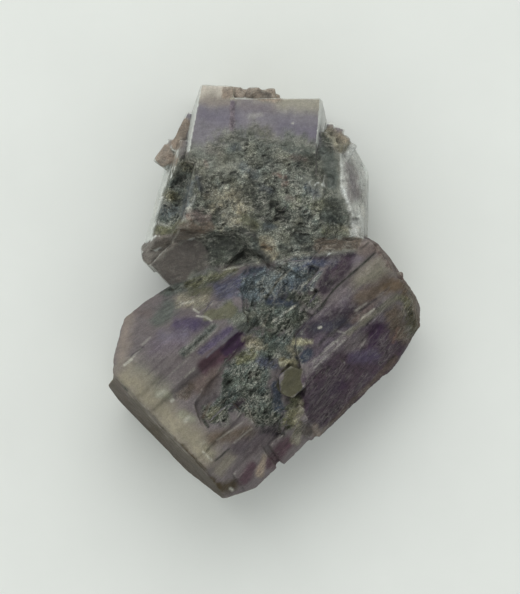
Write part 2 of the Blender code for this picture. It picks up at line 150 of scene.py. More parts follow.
UPPER_PATCHES = (
    # clean bands below the free end
    ("lilac", 0.05, 1.0, 2.6, 1.7, (-11.0, 25.6), (9.6, 25.0)),
    ("tan", 0.05, 1.0, 1.3, 1.5, (1.8, 28.8), (8.6, 28.6)),
    ("cream", 0.05, 1.0, 1.2, 1.3, (-9.4, 30.6), (-6.0, 30.6)),
    ("pink_tan", 0.06, 0.7, 0.7, 0.8, (-9.0, 28.7), (-5.5, 28.4)),
    ("deep_lilac", 0.05, 0.8, 0.9, 1.3, (-9.0, 26.5), (-4.6, 26.0)),
    ("deep_lilac", 0.06, 0.8, (0.9, 1.1), 0.9, (2.6, 24.7), (7.6, 23.6)),
    ("haze", 0.10, 0.7, 0.8, 1.0, (-3.2, 28.3), (1.0, 27.6)),
    ("chalk_and_highlight", 0.3, 0.3, (0.4, 0.3), 0.4, (-2.2, 26.4), (-0.6, 26.6)),
    ("chalk_and_highlight", 0.1, 0.8, 0.13, 0.12, (4.1, 25.3), (4.2, 25.3)),
    ("lilac", 0.10, 0.9, (1.0, 0.9), 0.9, (-9.6, 24.4), (-7.4, 22.9)),
    # the soft, speckled start of the rough middle
    ("matrix", 0.55, 0.9, (1.5, 1.6), 1.1, (-5.4, 22.8), (4.6, 22.0)),
    ("moss", 0.5, 0.5, 1.0, 0.9, (-1.6, 24.4), (0.2, 23.6)),
    ("matrix", 0.65, 1.0, 1.8, 1.0, (-8.6, 20.6), (6.8, 20.0)),
    ("end_brown", 0.5, 0.6, (0.7, 0.6), 0.6, (-8.9, 21.6), (-7.0, 20.6)),
    ("grey_green", 0.45, 0.7, 0.8, 0.7, (0.8, 21.8), (6.2, 21.0)),
    # a painted shadow line at the step where the rough middle begins
    ("black", 0.5, 0.9, (0.17, 0.2), 0.15, (-4.6, 23.2), (-2.2, 22.7)),
    ("night_blue", 0.35, 0.7, (0.7, 0.6), 0.4, (-4.2, 21.6), (-3.6, 20.7)),
    # the rough middle
    ("matrix", 1.0, 1.0, (7.0, 9.4), 1.0, (-0.8, 15.4), (-0.4, 11.4)),
    ("matrix", 1.0, 1.0, 2.6, 0.9, (-8.6, 17.6), (-9.4, 12.4)),
    ("pale_matrix", 0.5, 0.9, 1.6, 1.0, (-8.4, 18.6), (-4.6, 19.2)),
    ("pale_matrix", 0.8, 0.8, 0.9, 0.8, (-0.6, 19.2), (2.8, 19.0)),
    ("blue_matrix", 0.6, 0.8, (0.7, 0.8), 0.7, (-3.4, 18.9), (-1.9, 17.9)),
    ("rust", 0.7, 0.5, 0.3, 0.3, (-9.0, 19.6), (-8.8, 18.9)),
    ("red_brown", 0.8, 0.7, (0.4, 0.5), 0.4, (4.2, 20.2), (6.0, 19.7)),
    ("dark_matrix", 1.0, 0.8, (0.8, 0.9), 0.6, (5.6, 18.6), (7.6, 17.6)),
    ("rust", 0.6, 0.8, (0.3, 0.4), 0.3, (1.4, 17.7), (2.2, 17.5)),
    ("rust", 0.6, 0.7, (0.4, 0.5), 0.35, (2.9, 17.0), (3.1, 16.3)),
    ("dark_olive", 0.9, 0.6, (0.5, 0.6), 0.5, (-7.8, 17.3), (-5.2, 16.6)),
    ("dark_matrix", 1.0, 0.9, (0.45, 0.4), 0.35, (-3.4, 15.7), (-1.7, 15.7)),
    ("black", 0.9, 0.8, 0.3, 0.3, (-2.0, 16.4), (-1.7, 16.3)),
    ("night_blue", 0.8, 0.6, 0.5, 0.4, (-0.5, 15.7), (0.8, 15.3)),
    ("night_blue", 0.9, 0.6, (0.5, 0.7), 0.5, (6.2, 15.6), (8.0, 14.8)),
    ("straw", 0.8, 0.9, (1.1, 1.2), 0.8, (-7.6, 14.7), (-4.6, 14.2)),
    ("straw", 0.9, 0.7, 1.1, 0.8, (-6.8, 12.6), (-3.8, 12.2)),
    ("straw", 0.8, 0.9, (0.6, 0.7), 0.5, (-5.9, 10.9), (-4.4, 10.5)),
    ("moss", 0.6, 0.9, 0.8, 0.6, (-3.0, 11.0), (-1.6, 10.1)),
    ("dark_matrix", 1.0, 0.9, 0.8, 0.6, (-2.6, 14.4), (-0.4, 14.0)),
    ("dark_matrix", 1.0, 0.9, (0.8, 1.0), 0.6, (1.0, 13.2), (3.6, 11.8)),
    ("black", 0.9, 1.0, (0.5, 0.7), 0.35, (1.9, 12.1), (2.7, 10.9)),
    ("black", 0.9, 0.9, 0.3, 0.25, (-0.4, 11.1), (0.4, 10.5)),
    ("black", 0.9, 0.7, 0.3, 0.25, (-1.0, 12.6), (0.9, 13.2)),
    ("red_brown", 0.8, 0.7, (0.4, 0.5), 0.4, (3.5, 14.1), (4.6, 13.9)),
    ("grey_green", 1.0, 0.8, (2.0, 2.2), 1.2, (6.0, 12.6), (9.6, 9.8)),
    ("dark_matrix", 0.7, 0.8, (0.8, 1.0), 0.7, (9.2, 15.0), (10.8, 13.0)),
    ("moss", 0.9, 0.5, 1.0, 0.8, (4.8, 13.4), (8.4, 13.0)),
    ("blue_matrix", 0.8, 0.8, (0.5, 0.4), 0.4, (0.2, 9.8), (1.4, 9.6)),
    ("moss", 0.8, 0.7, (0.8, 0.7), 0.6, (9.0, 9.2), (12.4, 9.2)),
    ("straw", 0.7, 0.6, 0.4, 0.3, (12.0, 9.6), (12.8, 8.9)),
    # the rough left side
    ("matrix", 0.8, 1.0, (1.6, 2.2), 0.7, (-11.6, 19.4), (-14.2, 11.8)),
    ("grey_green", 0.9, 0.8, (1.2, 1.6), 0.8, (-12.2, 17.0), (-15.2, 12.0)),
    ("dark_olive", 0.9, 0.8, 0.9, 0.6, (-11.8, 19.4), (-10.0, 18.8)),
    ("black", 0.9, 0.8, (0.4, 0.5), 0.35, (-10.0, 18.9), (-10.3, 17.4)),
    ("night_blue", 0.7, 0.6, 0.5, 0.4, (-10.0, 16.8), (-9.4, 15.4)),
    ("moss", 0.9, 0.9, 0.8, 0.6, (-14.8, 14.6), (-13.4, 14.2)),
    ("blue_matrix", 0.8, 0.7, (0.9, 0.8), 0.6, (-16.0, 12.2), (-13.2, 12.2)),
    ("black", 0.9, 0.7, (0.25, 0.3), 0.25, (-15.2, 13.0), (-14.2, 12.6)),
    ("blue_matrix", 0.4, 0.8, 0.5, 0.4, (-11.0, 16.2), (-12.4, 11.6)),
    # a thin painted reflection on a steep facet
    ("facet_reflection", 0.4, 0.5, (0.15, 0.2), 0.15, (-10.4, 14.6), (-12.5, 10.2)),
    ("chalk_and_highlight", 0.5, 0.8, 0.3, 0.2, (-11.6, 12.5), (-11.2, 12.4)),
    ("red_brown", 0.6, 0.9, (1.0, 0.9), 0.6, (-11.0, 11.3), (-8.6, 10.9)),
    ("rust", 0.5, 0.6, 0.35, 0.3, (-11.7, 11.4), (-11.4, 11.0)),
    ("moss", 0.7, 1.0, (0.8, 0.9), 0.4, (-16.4, 9.0), (-12.0, 9.6)),
    ("chalk_and_highlight", 0.6, 0.6, (0.2, 0.25), 0.2, (-15.6, 10.2), (-14.4, 10.0)),
    ("straw", 0.8, 0.5, 0.3, 0.3, (-9.6, 9.6), (-6.6, 9.5)),
    # the dark slope at the lower left, partly dark matrix and partly painted shade in the hollow by the lower
    # crystal, and the brown ends
    ("dark_matrix", 0.8, 1.0, (1.8, 2.4), 0.7, (-8.0, 6.4), (-2.6, 6.4)),
    ("dark_matrix", 0.8, 1.0, (1.0, 1.2), 0.5, (-8.0, 4.2), (-3.4, 4.4)),
    ("black", 0.6, 0.6, (1.2, 1.4), 0.9, (-7.2, 7.2), (-1.8, 5.4)),
    ("black", 0.5, 1.0, 0.4, 0.3, (-3.6, 9.4), (-1.6, 8.5)),
    ("black", 0.5, 1.0, (0.7, 0.8), 0.4, (-0.4, 6.2), (0.4, 4.8)),
    ("grey_green", 0.8, 0.7, 0.5, 0.4, (-2.2, 7.5), (-1.2, 7.0)),
    ("end_brown", 0.24, 1.0, (1.9, 1.2), 0.35, (-17.2, 6.2), (-13.7, 8.0)),
    # the end's brown darkened as painted shade on the faces turned from the light
    ("dark_brown", 0.24, 1.0, (2.6, 1.9), 0.35, (-13.7, 3.4), (-11.2, 6.0)),
    ("dark_brown", 0.24, 1.0, 0.8, 0.5, (-16.2, 4.0), (-14.4, 2.0)),
    ("dark_brown", 0.3, 0.9, 1.2, 0.6, (-10.2, 6.4), (-9.6, 3.8)),
    # a painted shadow line where the crystals meet
    ("black", 0.3, 1.0, (0.2, 0.3), 0.2, (-13.8, 0.9), (-11.4, 1.5)),
    ("straw", 0.8, 0.9, (0.9, 0.7), 0.5, (0.2, 7.4), (1.4, 5.6)),
    ("warm_brown", 0.7, 0.7, 0.4, 0.3, (-0.2, 6.9), (0.9, 6.5)),
    ("black", 0.8, 0.9, (0.5, 0.6), 0.4, (6.2, 6.4), (7.8, 6.6)),
    ("grey_green", 0.9, 0.7, 0.6, 0.5, (2.4, 6.8), (5.0, 6.4)),
    # the right side
    ("grey_green", 0.35, 0.9, (1.2, 1.1), 0.5, (9.4, 20.6), (10.2, 16.6)),
    # painted reflection on the steep right facets
    ("facet_reflection", 0.34, 1.0, 1.7, 0.4, (12.9, 21.6), (14.4, 9.6)),
    ("facet_reflection", 0.34, 1.0, (0.5, 1.2), 0.3, (12.2, 20.6), (12.6, 15.2)),
    ("lilac_grey", 0.34, 0.9, (0.7, 1.0), 0.6, (12.8, 18.8), (13.5, 14.6)),
    # painted reflection: thin pale lines on the steep right side
    ("painted_reflection", 0.34, 0.6, (0.13, 0.16), 0.15, (11.4, 20.8), (11.5, 16.0)),
    ("painted_reflection", 0.34, 0.6, 0.16, 0.15, (11.5, 16.0), (13.3, 11.4)),
    ("chalk_and_highlight", 0.12, 0.6, *HAIR, (13.3, 11.1), (14.2, 11.4)),
    ("dark_matrix", 0.9, 0.8, (0.7, 1.0), 0.5, (9.8, 13.8), (12.0, 11.2)),
    ("black", 0.5, 0.7, 0.25, 0.2, (13.2, 11.0), (13.9, 10.9)),
    # painted reflection on the steep left side
    ("painted_reflection", 0.10, 0.9, (0.6, 0.8), 0.3, (-15.1, 17.6), (-17.9, 8.2)),
    ("moss", 0.6, 1.0, (0.7, 0.8), 0.35, (-15.6, 9.0), (-12.4, 9.6)),
    ("end_brown", 0.36, 1.0, (0.8, 0.7), 0.25, (-17.7, 6.8), (-10.2, 8.8)),
    ("end_brown", 0.36, 0.9, 0.35, 0.2, (-17.3, 4.4), (-12.6, 8.8)),
    ("brown", 0.5, 1.0, 0.9, 0.4, (-12.2, 9.4), (-8.6, 9.6)),
    ("brown", 0.6, 1.0, (0.9, 1.0), 0.4, (8.4, 7.0), (14.2, 7.2)),
    ("chalk_and_highlight", 0.36, 0.5, *HAIR, (-12.9, 9.2), (-14.0, 7.3)),
    ("tan", 0.36, 1.0, 0.4, 0.2, (-4.9, 31.0), (-4.9, 28.4)),
    ("haze", 0.36, 1.0, 0.4, 0.2, (-4.9, 28.4), (-4.9, 24.4)),
    # small brown crystals
    ("small_brown", 0.35, 1.0, 1.0, 0.3, (-5.4, 30.1), (1.6, 29.6)),
    ("dark_brown", 0.4, 0.8, 0.3, 0.3, (-0.6, 30.0), (0.8, 29.4)),
    ("small_brown", 0.35, 1.0, (0.9, 1.0), 0.35, (-12.2, 25.2), (-13.2, 22.4)),
    ("small_brown", 0.35, 1.0, 1.5, 0.35, (-15.4, 20.8), (-14.9, 20.2)),
    ("lilac_grey", 0.3, 0.7, 0.5, 0.4, (-12.0, 22.6), (-12.6, 20.6)),
    ("straw", 0.45, 1.0, (1.3, 1.2), 0.4, (9.9, 23.4), (11.4, 22.4)),
    ("small_brown", 0.35, 0.4, (0.6, 0.7), 0.4, (10.2, 24.7), (12.0, 23.0)),
    ("dark_matrix", 0.7, 0.9, 0.5, 0.35, (8.6, 23.4), (9.8, 21.6)),
)

LOWER_PATCHES = (
    # the broad left blades and their flank
    ("lilac_grey", 0.10, 1.0, 60, 1.0, (-24.0, -9.0), (-4.0, -9.0)),
    ("grey_green", 0.4, 0.9, (1.0, 1.3), 0.9, (-14.6, 0.2), (-7.6, 2.4)),
    ("moss", 0.6, 0.9, (0.7, 0.6), 0.5, (-11.4, 1.2), (-4.6, 3.2)),
    # a painted shadow line where the crystals meet
    ("black", 0.5, 0.6, 0.2, 0.2, (-14.0, 0.2), (-9.6, 2.0)),
    ("pink_tan", 0.06, 1.0, 0.9, 1.0, (-20.6, -4.0), (-21.6, -9.6)),
    ("straw", 0.2, 0.6, 0.3, 0.3, (-20.8, -3.4), (-20.2, -3.0)),
    ("red_brown", 0.1, 0.5, 0.6, 0.8, (-19.6, -2.8), (-17.4, -3.2)),
    ("grey_green", 0.15, 0.8, (0.9, 1.2), 0.7, (-16.2, -4.4), (-14.4, -2.4)),
    ("haze", 0.14, 0.9, (1.3, 1.5), 1.2, (-16.2, -8.2), (-12.6, -7.2)),
    ("violet", 0.20, 0.9, (1.2, 1.3), 0.9, (-12.8, -4.9), (-10.6, -5.0)),
    ("violet", 0.10, 0.7, 0.6, 0.6, (-10.4, -4.6), (-8.8, -4.5)),
    ("deep_lilac", 0.08, 0.6, 0.7, 0.8, (-15.4, -6.6), (-12.0, -6.6)),
    ("blue_violet", 0.35, 0.9, (1.2, 1.5), 0.9, (-6.8, 0.4), (-2.6, 1.4)),
    ("night_blue", 0.35, 0.9, (0.6, 0.7), 0.5, (-2.4, 3.0), (-0.6, 3.5)),
    # a painted soft highlight on the smooth rim
    ("soft_highlight", 0.04, 0.6, (1.1, 1.3), 1.8, (-19.0, -11.6), (-15.6, -14.8)),
    ("lilac_grey", 0.05, 0.7, 1.0, 1.0, (-15.8, -11.2), (-12.6, -12.4)),
    ("rim", 0.04, 1.0, (1.6, 2.0), 2.0, (-20.9, -12.8), (-9.4, -23.8)),
    ("foot", 0.06, 1.0, (0.6, 1.3), 0.35, (-22.8, -13.8), (-16.6, -21.2)),
    ("foot", 0.06, 1.0, (1.3, 1.4), 0.45, (-16.6, -21.2), (-7.8, -29.8)),
    ("red_brown", 0.15, 0.7, 0.4, 0.4, (-22.2, -13.8), (-20.6, -15.8)),
    ("black", 0.3, 0.7, (0.12, 0.15), 0.12, (-21.4, -14.0), (-20.7, -14.8)),
    # painted highlights on the rim: soft patches and pale specks
    ("soft_highlight", 0.10, 0.9, 0.6, 0.6, (-16.0, -15.2), (-14.6, -15.6)),
    ("soft_highlight", 0.10, 0.9, 0.6, 0.6, (-12.6, -18.4), (-11.0, -19.0)),
    ("chalk_and_highlight", 0.1, 0.5, (0.3, 0.25), 0.5, (-15.9, -15.4), (-15.2, -15.0)),
    ("chalk_and_highlight", 0.1, 0.9, 0.2, 0.2, (-14.0, -16.4), (-13.8, -16.2)),
    ("chalk_and_highlight", 0.1, 0.7, (0.2, 0.18), 0.3, (-12.0, -19.4), (-11.4, -18.8)),
    ("red_brown", 0.15, 0.9, (1.4, 1.2), 0.8, (-9.8, -14.2), (-7.6, -11.6)),
    ("brown", 0.5, 0.7, (0.9, 0.7), 0.6, (-12.2, -15.4), (-11.2, -14.2)),
    ("chalk_and_highlight", 0.4, 0.45, (0.12, 0.16), 0.2, (-12.0, -12.8), (-10.6, -11.6)),
    # the striped band, the blade beside it and the dark wedge
    ("grey_green", 0.55, 0.8, (0.7, 0.5), 0.4, (-12.2, -9.2), (-7.6, -5.2)),
    # painted shadow and highlight lines along the blade edges
    ("black", 0.3, 0.7, (0.13, 0.15), 0.13, (-10.6, -7.9), (-8.8, -6.4)),
    ("chalk_and_highlight", 0.3, 0.12, *HAIR, (-12.9, -9.2), (-7.9, -4.9)),
    ("black", 0.3, 0.3, *HAIR, (-12.5, -9.4), (-7.5, -5.1)),
    ("chalk_and_highlight", 0.3, 0.18, *HAIR, (-11.8, -9.6), (-7.0, -5.4)),
    ("grey_green", 0.5, 0.8, (1.1, 1.3), 0.7, (-5.6, -2.4), (-3.0, -5.4)),
    ("moss", 0.5, 0.6, (0.6, 0.7), 0.5, (-5.4, -2.0), (-4.4, -3.8)),
    ("violet", 0.20, 0.9, (0.5, 0.8), 0.4, (-9.6, -9.1), (-5.4, -5.9)),
    ("wine", 0.08, 1.0, (1.0, 1.3), 0.5, (-9.0, -11.0), (-5.6, -8.8)),
    ("deep_purple", 0.05, 1.0, (0.8, 1.2), 0.4, (-5.9, -8.8), (-3.9, -7.1)),
    # a painted highlight line along a blade edge
    ("lilac", 0.12, 0.8, (0.12, 0.25), 0.15, (-8.8, -9.8), (-4.3, -5.8)),
    # painted highlight lines along the crests, and painted shadow lines beside them
    ("chalk_and_highlight", 0.15, 0.7, (0.16, 0.14), 0.15, (-21.1, -10.9), (-20.0, -10.1)),
    ("chalk_and_highlight", 0.15, 0.5, (0.14, 0.12), 0.15, (-19.8, -9.7), (-18.6, -8.5)),
    ("dusk", 0.15, 0.35, (0.13, 0.12), 0.15, (-17.8, -12.6), (-11.4, -6.8)),
    ("dusk", 0.15, 0.35, (0.13, 0.12), 0.15, (-16.2, -13.9), (-10.4, -9.0)),
    ("chalk_and_highlight", 0.15, 0.2, 0.12, 0.15, (-15.4, -13.4), (-11.2, -9.7)),
    ("chalk_and_highlight", 0.15, 0.35, (0.14, 0.12), 0.15, (-18.4, -7.9), (-17.2, -6.8)),
    ("dusk", 0.15, 0.7, *HAIR, (-20.0, -9.6), (-18.2, -8.2)),
    # crusts and the crystals that stand on end
    ("straw", 0.55, 0.8, (0.9, 1.0), 0.6, (-12.8, -1.2), (-9.4, -1.4)),
    ("moss", 0.45, 0.7, 0.6, 0.5, (-10.6, 0.2), (-8.4, 0.4)),
    ("chalk_and_highlight", 0.4, 0.7, 0.2, 0.2, (-12.6, -1.8), (-10.8, -1.4)),
    ("olive", 0.12, 1.0, (0.7, 1.1), 0.25, (-8.6, -3.5), (-5.2, -2.8)),
    ("chalk_and_highlight", 0.2, 0.7, *HAIR, (-10.2, -3.6), (-9.2, -3.7)),
    ("chalk_and_highlight", 0.2, 0.7, (0.13, 0.12), 0.12, (-8.9, -3.7), (-8.0, -4.3)),
    ("chalk_and_highlight", 0.2, 0.7, 0.13, 0.12, (-10.7, -2.6), (-9.9, -3.1)),
    # the rough valley
    ("blue_matrix", 0.9, 1.0, (2.2, 2.6), 0.8, (-1.6, 0.6), (5.6, 2.8)),
    ("grey_green", 0.9, 1.0, (1.8, 2.6), 0.7, (-2.2, -3.4), (3.4, -3.6)),
    ("grey_green", 1.0, 1.0, (2.4, 2.8), 0.7, (0.6, -8.0), (-2.6, -12.6)),
    ("grey_green", 0.9, 0.9, (1.6, 1.5), 0.7, (5.6, -5.4), (2.8, -9.6)),
    ("grey_green", 0.9, 1.0, (1.1, 1.4), 0.5, (-4.8, -11.0), (-5.4, -15.0)),
    ("grey_green", 1.0, 1.0, (2.3, 2.5), 0.7, (-3.4, -13.8), (0.2, -17.4)),
    ("grey_green", 1.0, 1.0, (1.3, 1.6), 0.5, (-7.4, -17.8), (-3.2, -15.8)),
    ("black", 0.6, 0.8, (0.15, 0.18), 0.15, (-5.8, -15.9), (-3.2, -14.7)),
    ("black", 0.6, 0.9, (0.15, 0.18), 0.15, (-6.3, -18.2), (-2.7, -16.1)),
    ("black", 0.6, 0.8, 0.15, 0.15, (-2.3, -15.4), (-0.9, -14.2)),
    ("pale_matrix", 0.8, 0.25, 0.9, 0.8, (-0.4, 1.2), (2.8, 4.0)),
    ("night_blue", 0.6, 0.8, 0.8, 0.6, (5.4, 3.8), (8.4, 4.4)),
    ("night_blue", 0.6, 0.6, 0.9, 0.8, (2.6, 0.4), (5.4, 0.8)),
    ("night_blue", 0.5, 1.0, (0.6, 0.8), 0.5, (0.8, -1.4), (4.4, -1.4)),
    ("dark_matrix", 0.9, 0.9, (0.8, 0.9), 0.6, (4.4, -0.8), (7.4, -1.2)),
    ("dark_matrix", 1.0, 0.8, (1.2, 1.3), 0.7, (1.6, -5.4), (5.6, -3.8)),
    ("black", 0.6, 0.9, 0.2, 0.2, (0.2, -1.0), (2.6, 2.4)),
    ("black", 0.6, 0.9, 0.2, 0.2, (-2.6, -6.0), (-0.4, -3.4)),
    ("black", 0.5, 1.0, (0.25, 0.2), 0.2, (4.4, -6.6), (9.2, -1.4)),
    ("pale_matrix", 0.6, 0.8, (0.7, 0.6), 0.5, (-4.2, -4.4), (-1.8, -3.0)),
    ("straw", 0.8, 0.8, 0.9, 0.5, (-2.2, -7.4), (-0.8, -8.2)),
    ("moss", 0.8, 0.9, (0.7, 0.8), 0.5, (-3.8, -10.2), (-1.8, -9.6)),
    ("blue_violet", 0.5, 0.7, 0.7, 0.5, (-0.6, -10.4), (1.4, -11.0)),
    ("night_blue", 0.5, 0.9, (0.6, 0.8), 0.4, (1.6, -13.8), (1.9, -17.4)),
    ("dark_matrix", 0.9, 0.9, (1.0, 1.2), 0.7, (-2.2, -18.4), (1.4, -19.4)),
    ("black", 0.7, 0.8, (0.4, 0.5), 0.4, (-0.6, -20.8), (2.6, -21.2)),
    ("dusk", 0.8, 0.8, 0.5, 0.4, (-6.2, -18.2), (-3.2, -16.4)),
    ("dark_matrix", 0.9, 1.0, (1.3, 1.2), 0.5, (-8.0, -18.2), (-6.2, -18.4)),
    ("moss", 0.8, 0.8, 0.6, 0.5, (-8.2, -18.6), (-7.2, -17.6)),
    ("black", 0.3, 1.0, (0.25, 0.2), 0.15, (-9.4, -19.0), (-8.5, -20.2)),
    ("brown", 0.3, 0.9, 0.2, 0.2, (-8.3, -16.8), (-9.3, -18.8)),
    ("chalk_and_highlight", 0.8, 0.5, *HAIR, (1.2, -4.4), (4.5, -2.1)),
    ("chalk_and_highlight", 0.8, 0.5, *HAIR, (1.6, 1.3), (5.0, 4.5)),
    ("chalk_and_highlight", 0.8, 0.4, *HAIR, (-0.4, -5.2), (0.6, -3.2)),
    ("chalk_and_highlight", 0.8, 0.4, *HAIR, (5.4, 1.0), (8.0, 2.6)),
    ("chalk_and_highlight", 0.6, 0.5, *HAIR, (-6.2, 3.2), (-3.2, 4.0)),
    # a spot of painted reflection
    ("painted_reflection", 0.4, 1.0, 0.18, 0.12, (6.9, 0.3), (7.1, 0.35)),
    ("black", 0.4, 1.0, 0.3, 0.15, (7.6, 0.3), (7.9, 0.1)),
    # right-hand blades
    ("mauve", 0.28, 1.0, (2.2, 2.4), 1.0, (7.6, -6.2), (15.0, 0.4)),
    ("mauve", 0.34, 1.0, 1.6, 0.8, (7.4, -9.8), (17.0, -3.2)),
    ("lilac_grey", 0.22, 0.6, (0.9, 1.0), 0.8, (10.6, -0.8), (13.6, 1.0)),
    ("dusk", 0.35, 1.0, (1.2, 1.5), 0.5, (8.8, 0.9), (11.8, 4.4)),
    ("blue_violet", 0.5, 0.5, (0.8, 0.9), 0.6, (6.4, 4.2), (10.2, 4.9)),
    ("plum", 0.20, 0.9, (0.6, 1.0), 0.5, (10.6, 2.4), (12.6, 5.0)),
    ("haze", 0.10, 0.7, (0.5, 0.6), 0.5, (13.4, 4.6), (14.2, 5.2)),
    ("dusk", 0.40, 0.9, 0.5, 0.3, (7.6, 5.2), (13.4, 5.7)),
    ("pink_tan", 0.10, 0.6, (1.0, 0.9), 0.4, (14.4, 6.6), (15.6, 7.0)),
    ("red_brown", 0.12, 0.6, (0.9, 0.7), 0.5, (14.4, 6.4), (15.8, 6.2)),
    ("end_brown", 0.14, 1.0, (1.4, 1.9), 0.9, (14.2, 2.0), (18.2, 4.2)),
    ("tan", 0.14, 0.25, (0.8, 1.1), 0.9, (14.4, 2.4), (17.4, 4.2)),
    ("brown", 0.15, 0.9, (1.2, 1.3), 0.9, (14.4, -1.0), (18.2, 1.0)),
    ("olive", 0.10, 0.4, (0.6, 0.7), 0.6, (14.4, 1.4), (17.2, 3.2)),
    ("warm_brown", 0.12, 0.9, (0.8, 0.9), 0.7, (18.2, 0.6), (20.2, 1.2)),
    ("dusk", 0.20, 1.0, (1.4, 1.5), 0.7, (7.4, -5.6), (13.6, -3.2)),
    ("night_blue", 0.15, 0.4, 0.8, 0.8, (7.6, -5.6), (12.0, -4.6)),
    ("red_brown", 0.30, 0.8, (0.7, 0.8), 0.6, (13.4, -4.0), (16.0, -2.2)),
    ("chalk_and_highlight", 0.3, 0.45, *HAIR, (13.6, -2.8), (15.2, -1.7)),
    ("chalk_and_highlight", 0.3, 0.45, *HAIR, (14.6, -3.8), (16.4, -2.6)),
    ("chalk_and_highlight", 0.3, 0.35, *HAIR, (10.6, -5.7), (12.2, -6.3)),
    ("chalk_and_highlight", 0.2, 1.0, 0.17, 0.12, (8.1, -5.4), (8.4, -5.3)),
    # painted shadow in the gaps between blades
    ("black", 0.2, 1.0, (0.15, 0.13), 0.12, (8.2, -2.4), (10.2, 0.3)),
    ("black", 0.2, 1.0, (0.14, 0.13), 0.12, (10.2, 0.3), (16.8, 6.1)),
    ("black", 0.2, 0.6, *HAIR, (14.4, 6.5), (15.6, 7.4)),
    ("pale_straw", 0.6, 1.0, (0.5, 0.4), 0.3, (4.4, -7.4), (6.8, -7.5)),
    ("straw", 0.6, 0.9, (0.6, 0.5), 0.4, (3.9, -8.6), (4.6, -9.4)),
    ("night_blue", 0.4, 1.0, (0.8, 0.7), 0.4, (5.6, -9.9), (6.4, -9.2)),
    # the crest, with painted highlight and shadow lines along it, and the dark right face
    ("lilac_grey", 0.45, 0.8, (0.6, 0.7), 0.4, (7.6, -11.0), (12.4, -6.9)),
    ("chalk_and_highlight", 0.4, 0.3, *HAIR, (9.0, -8.6), (16.6, -2.4)),
    ("black", 0.4, 0.5, *HAIR, (8.2, -7.6), (17.2, -0.6)),
    ("dusk", 0.4, 0.6, 0.15, 0.15, (9.8, -6.6), (18.6, 0.6)),
    ("olive", 0.3, 0.6, (0.4, 0.5), 0.4, (12.6, -6.2), (19.4, -1.0)),
    ("chalk_and_highlight", 0.3, 0.4, *HAIR, (7.4, -11.4), (12.0, -7.2)),
    ("chalk_and_highlight", 0.3, 0.3, *HAIR, (7.2, -10.4), (11.0, -7.2)),
    ("plum", 0.38, 1.0, (4.6, 4.2), 0.8, (9.4, -15.8), (17.6, -8.6)),
    ("lilac_grey", 0.20, 0.7, (1.0, 1.1), 0.7, (12.9, -8.3), (14.4, -7.0)),
    ("deep_purple", 0.15, 0.9, (0.9, 1.0), 0.6, (16.0, -7.8), (16.6, -5.4)),
    ("violet", 0.15, 0.7, (0.7, 0.9), 0.7, (13.2, -9.8), (16.4, -9.6)),
    ("deep_purple", 0.15, 0.8, (0.7, 0.8), 0.7, (10.6, -14.8), (11.6, -14.2)),
    ("dusk", 0.25, 0.6, (1.4, 1.2), 1.0, (7.4, -17.0), (9.6, -14.6)),
    ("brown", 0.5, 0.9, (1.2, 1.4), 0.8, (19.4, -3.4), (20.6, -6.4)),
    ("brown", 0.5, 1.0, (0.9, 1.0), 0.4, (21.0, 2.0), (22.8, -5.2)),
    ("red_brown", 0.35, 1.0, 0.6, 0.3, (16.8, 6.7), (21.0, 2.0)),
    ("dark_olive", 0.7, 0.8, (0.7, 0.9), 0.5, (21.4, -2.4), (22.2, -5.8)),
    ("moss", 0.5, 0.7, (0.5, 0.6), 0.4, (19.8, -0.6), (21.4, -1.4)),
    ("rust", 0.4, 0.5, (0.15, 0.2), 0.2, (19.2, -7.6), (20.0, -5.4)),
    ("brown", 0.4, 0.6, (0.3, 0.4), 0.3, (8.4, -21.2), (19.6, -9.9)),
    # the lower right of the foot
    ("brown", 0.15, 0.9, (1.0, 1.2), 0.8, (-7.8, -21.8), (-2.8, -21.0)),
    ("chalk_and_highlight", 0.2, 0.35, *HAIR, (-7.2, -22.2), (-3.2, -19.4)),
    ("straw", 0.3, 0.8, (0.5, 0.7), 0.4, (-9.2, -22.8), (-8.2, -24.2)),
    ("chalk_and_highlight", 0.3, 0.7, 0.15, 0.15, (-9.3, -23.9), (-8.0, -25.2)),
    ("black", 0.2, 0.8, 0.13, 0.12, (-7.5, -25.3), (-5.4, -23.5)),
    ("chalk_and_highlight", 0.2, 0.4, *HAIR, (-4.6, -22.6), (-2.0, -20.5)),
    ("lilac_grey", 0.15, 0.8, 0.9, 0.7, (-4.4, -25.4), (-1.6, -22.8)),
    ("rim", 0.15, 0.6, 0.8, 0.7, (-6.8, -26.8), (-5.2, -25.0)),
    ("plum", 0.25, 0.5, (1.5, 1.3), 0.9, (-3.6, -23.4), (0.6, -21.0)),
    ("wine", 0.20, 0.9, 0.8, 0.5, (-3.2, -28.2), (-1.9, -26.2)),
    ("wine", 0.20, 1.0, (1.0, 1.1), 0.5, (1.0, -25.4), (3.2, -22.8)),
    ("small_brown", 0.35, 0.9, (0.6, 0.5), 0.3, (-0.8, -27.4), (-0.1, -24.6)),
    ("foot", 0.15, 0.9, 0.9, 0.6, (-6.6, -29.6), (-4.8, -29.0)),
    ("chalk_and_highlight", 0.2, 0.8, 0.2, 0.2, (-5.2, -29.5), (-4.9, -29.7)),
    ("dark_brown", 0.3, 0.8, 0.8, 0.4, (5.4, -20.2), (6.4, -20.9)),
    ("small_brown", 0.3, 0.5, 0.5, 0.3, (7.6, -20.2), (7.8, -21.4)),
    ("moss", 0.7, 0.9, (0.9, 1.1), 0.5, (4.6, -16.4), (3.8, -19.6)),
    ("straw", 0.6, 0.7, (0.4, 0.6), 0.4, (5.4, -16.4), (4.6, -22.4)),
    ("pale_straw", 0.5, 0.9, 0.6, 0.3, (2.6, -10.6), (4.2, -10.7)),
    ("dark_olive", 0.12, 1.0, 1.8, 0.15, (4.0, -12.7), (4.0, -13.8)),
)


# ---------------------------------------------------------------- numbers at points


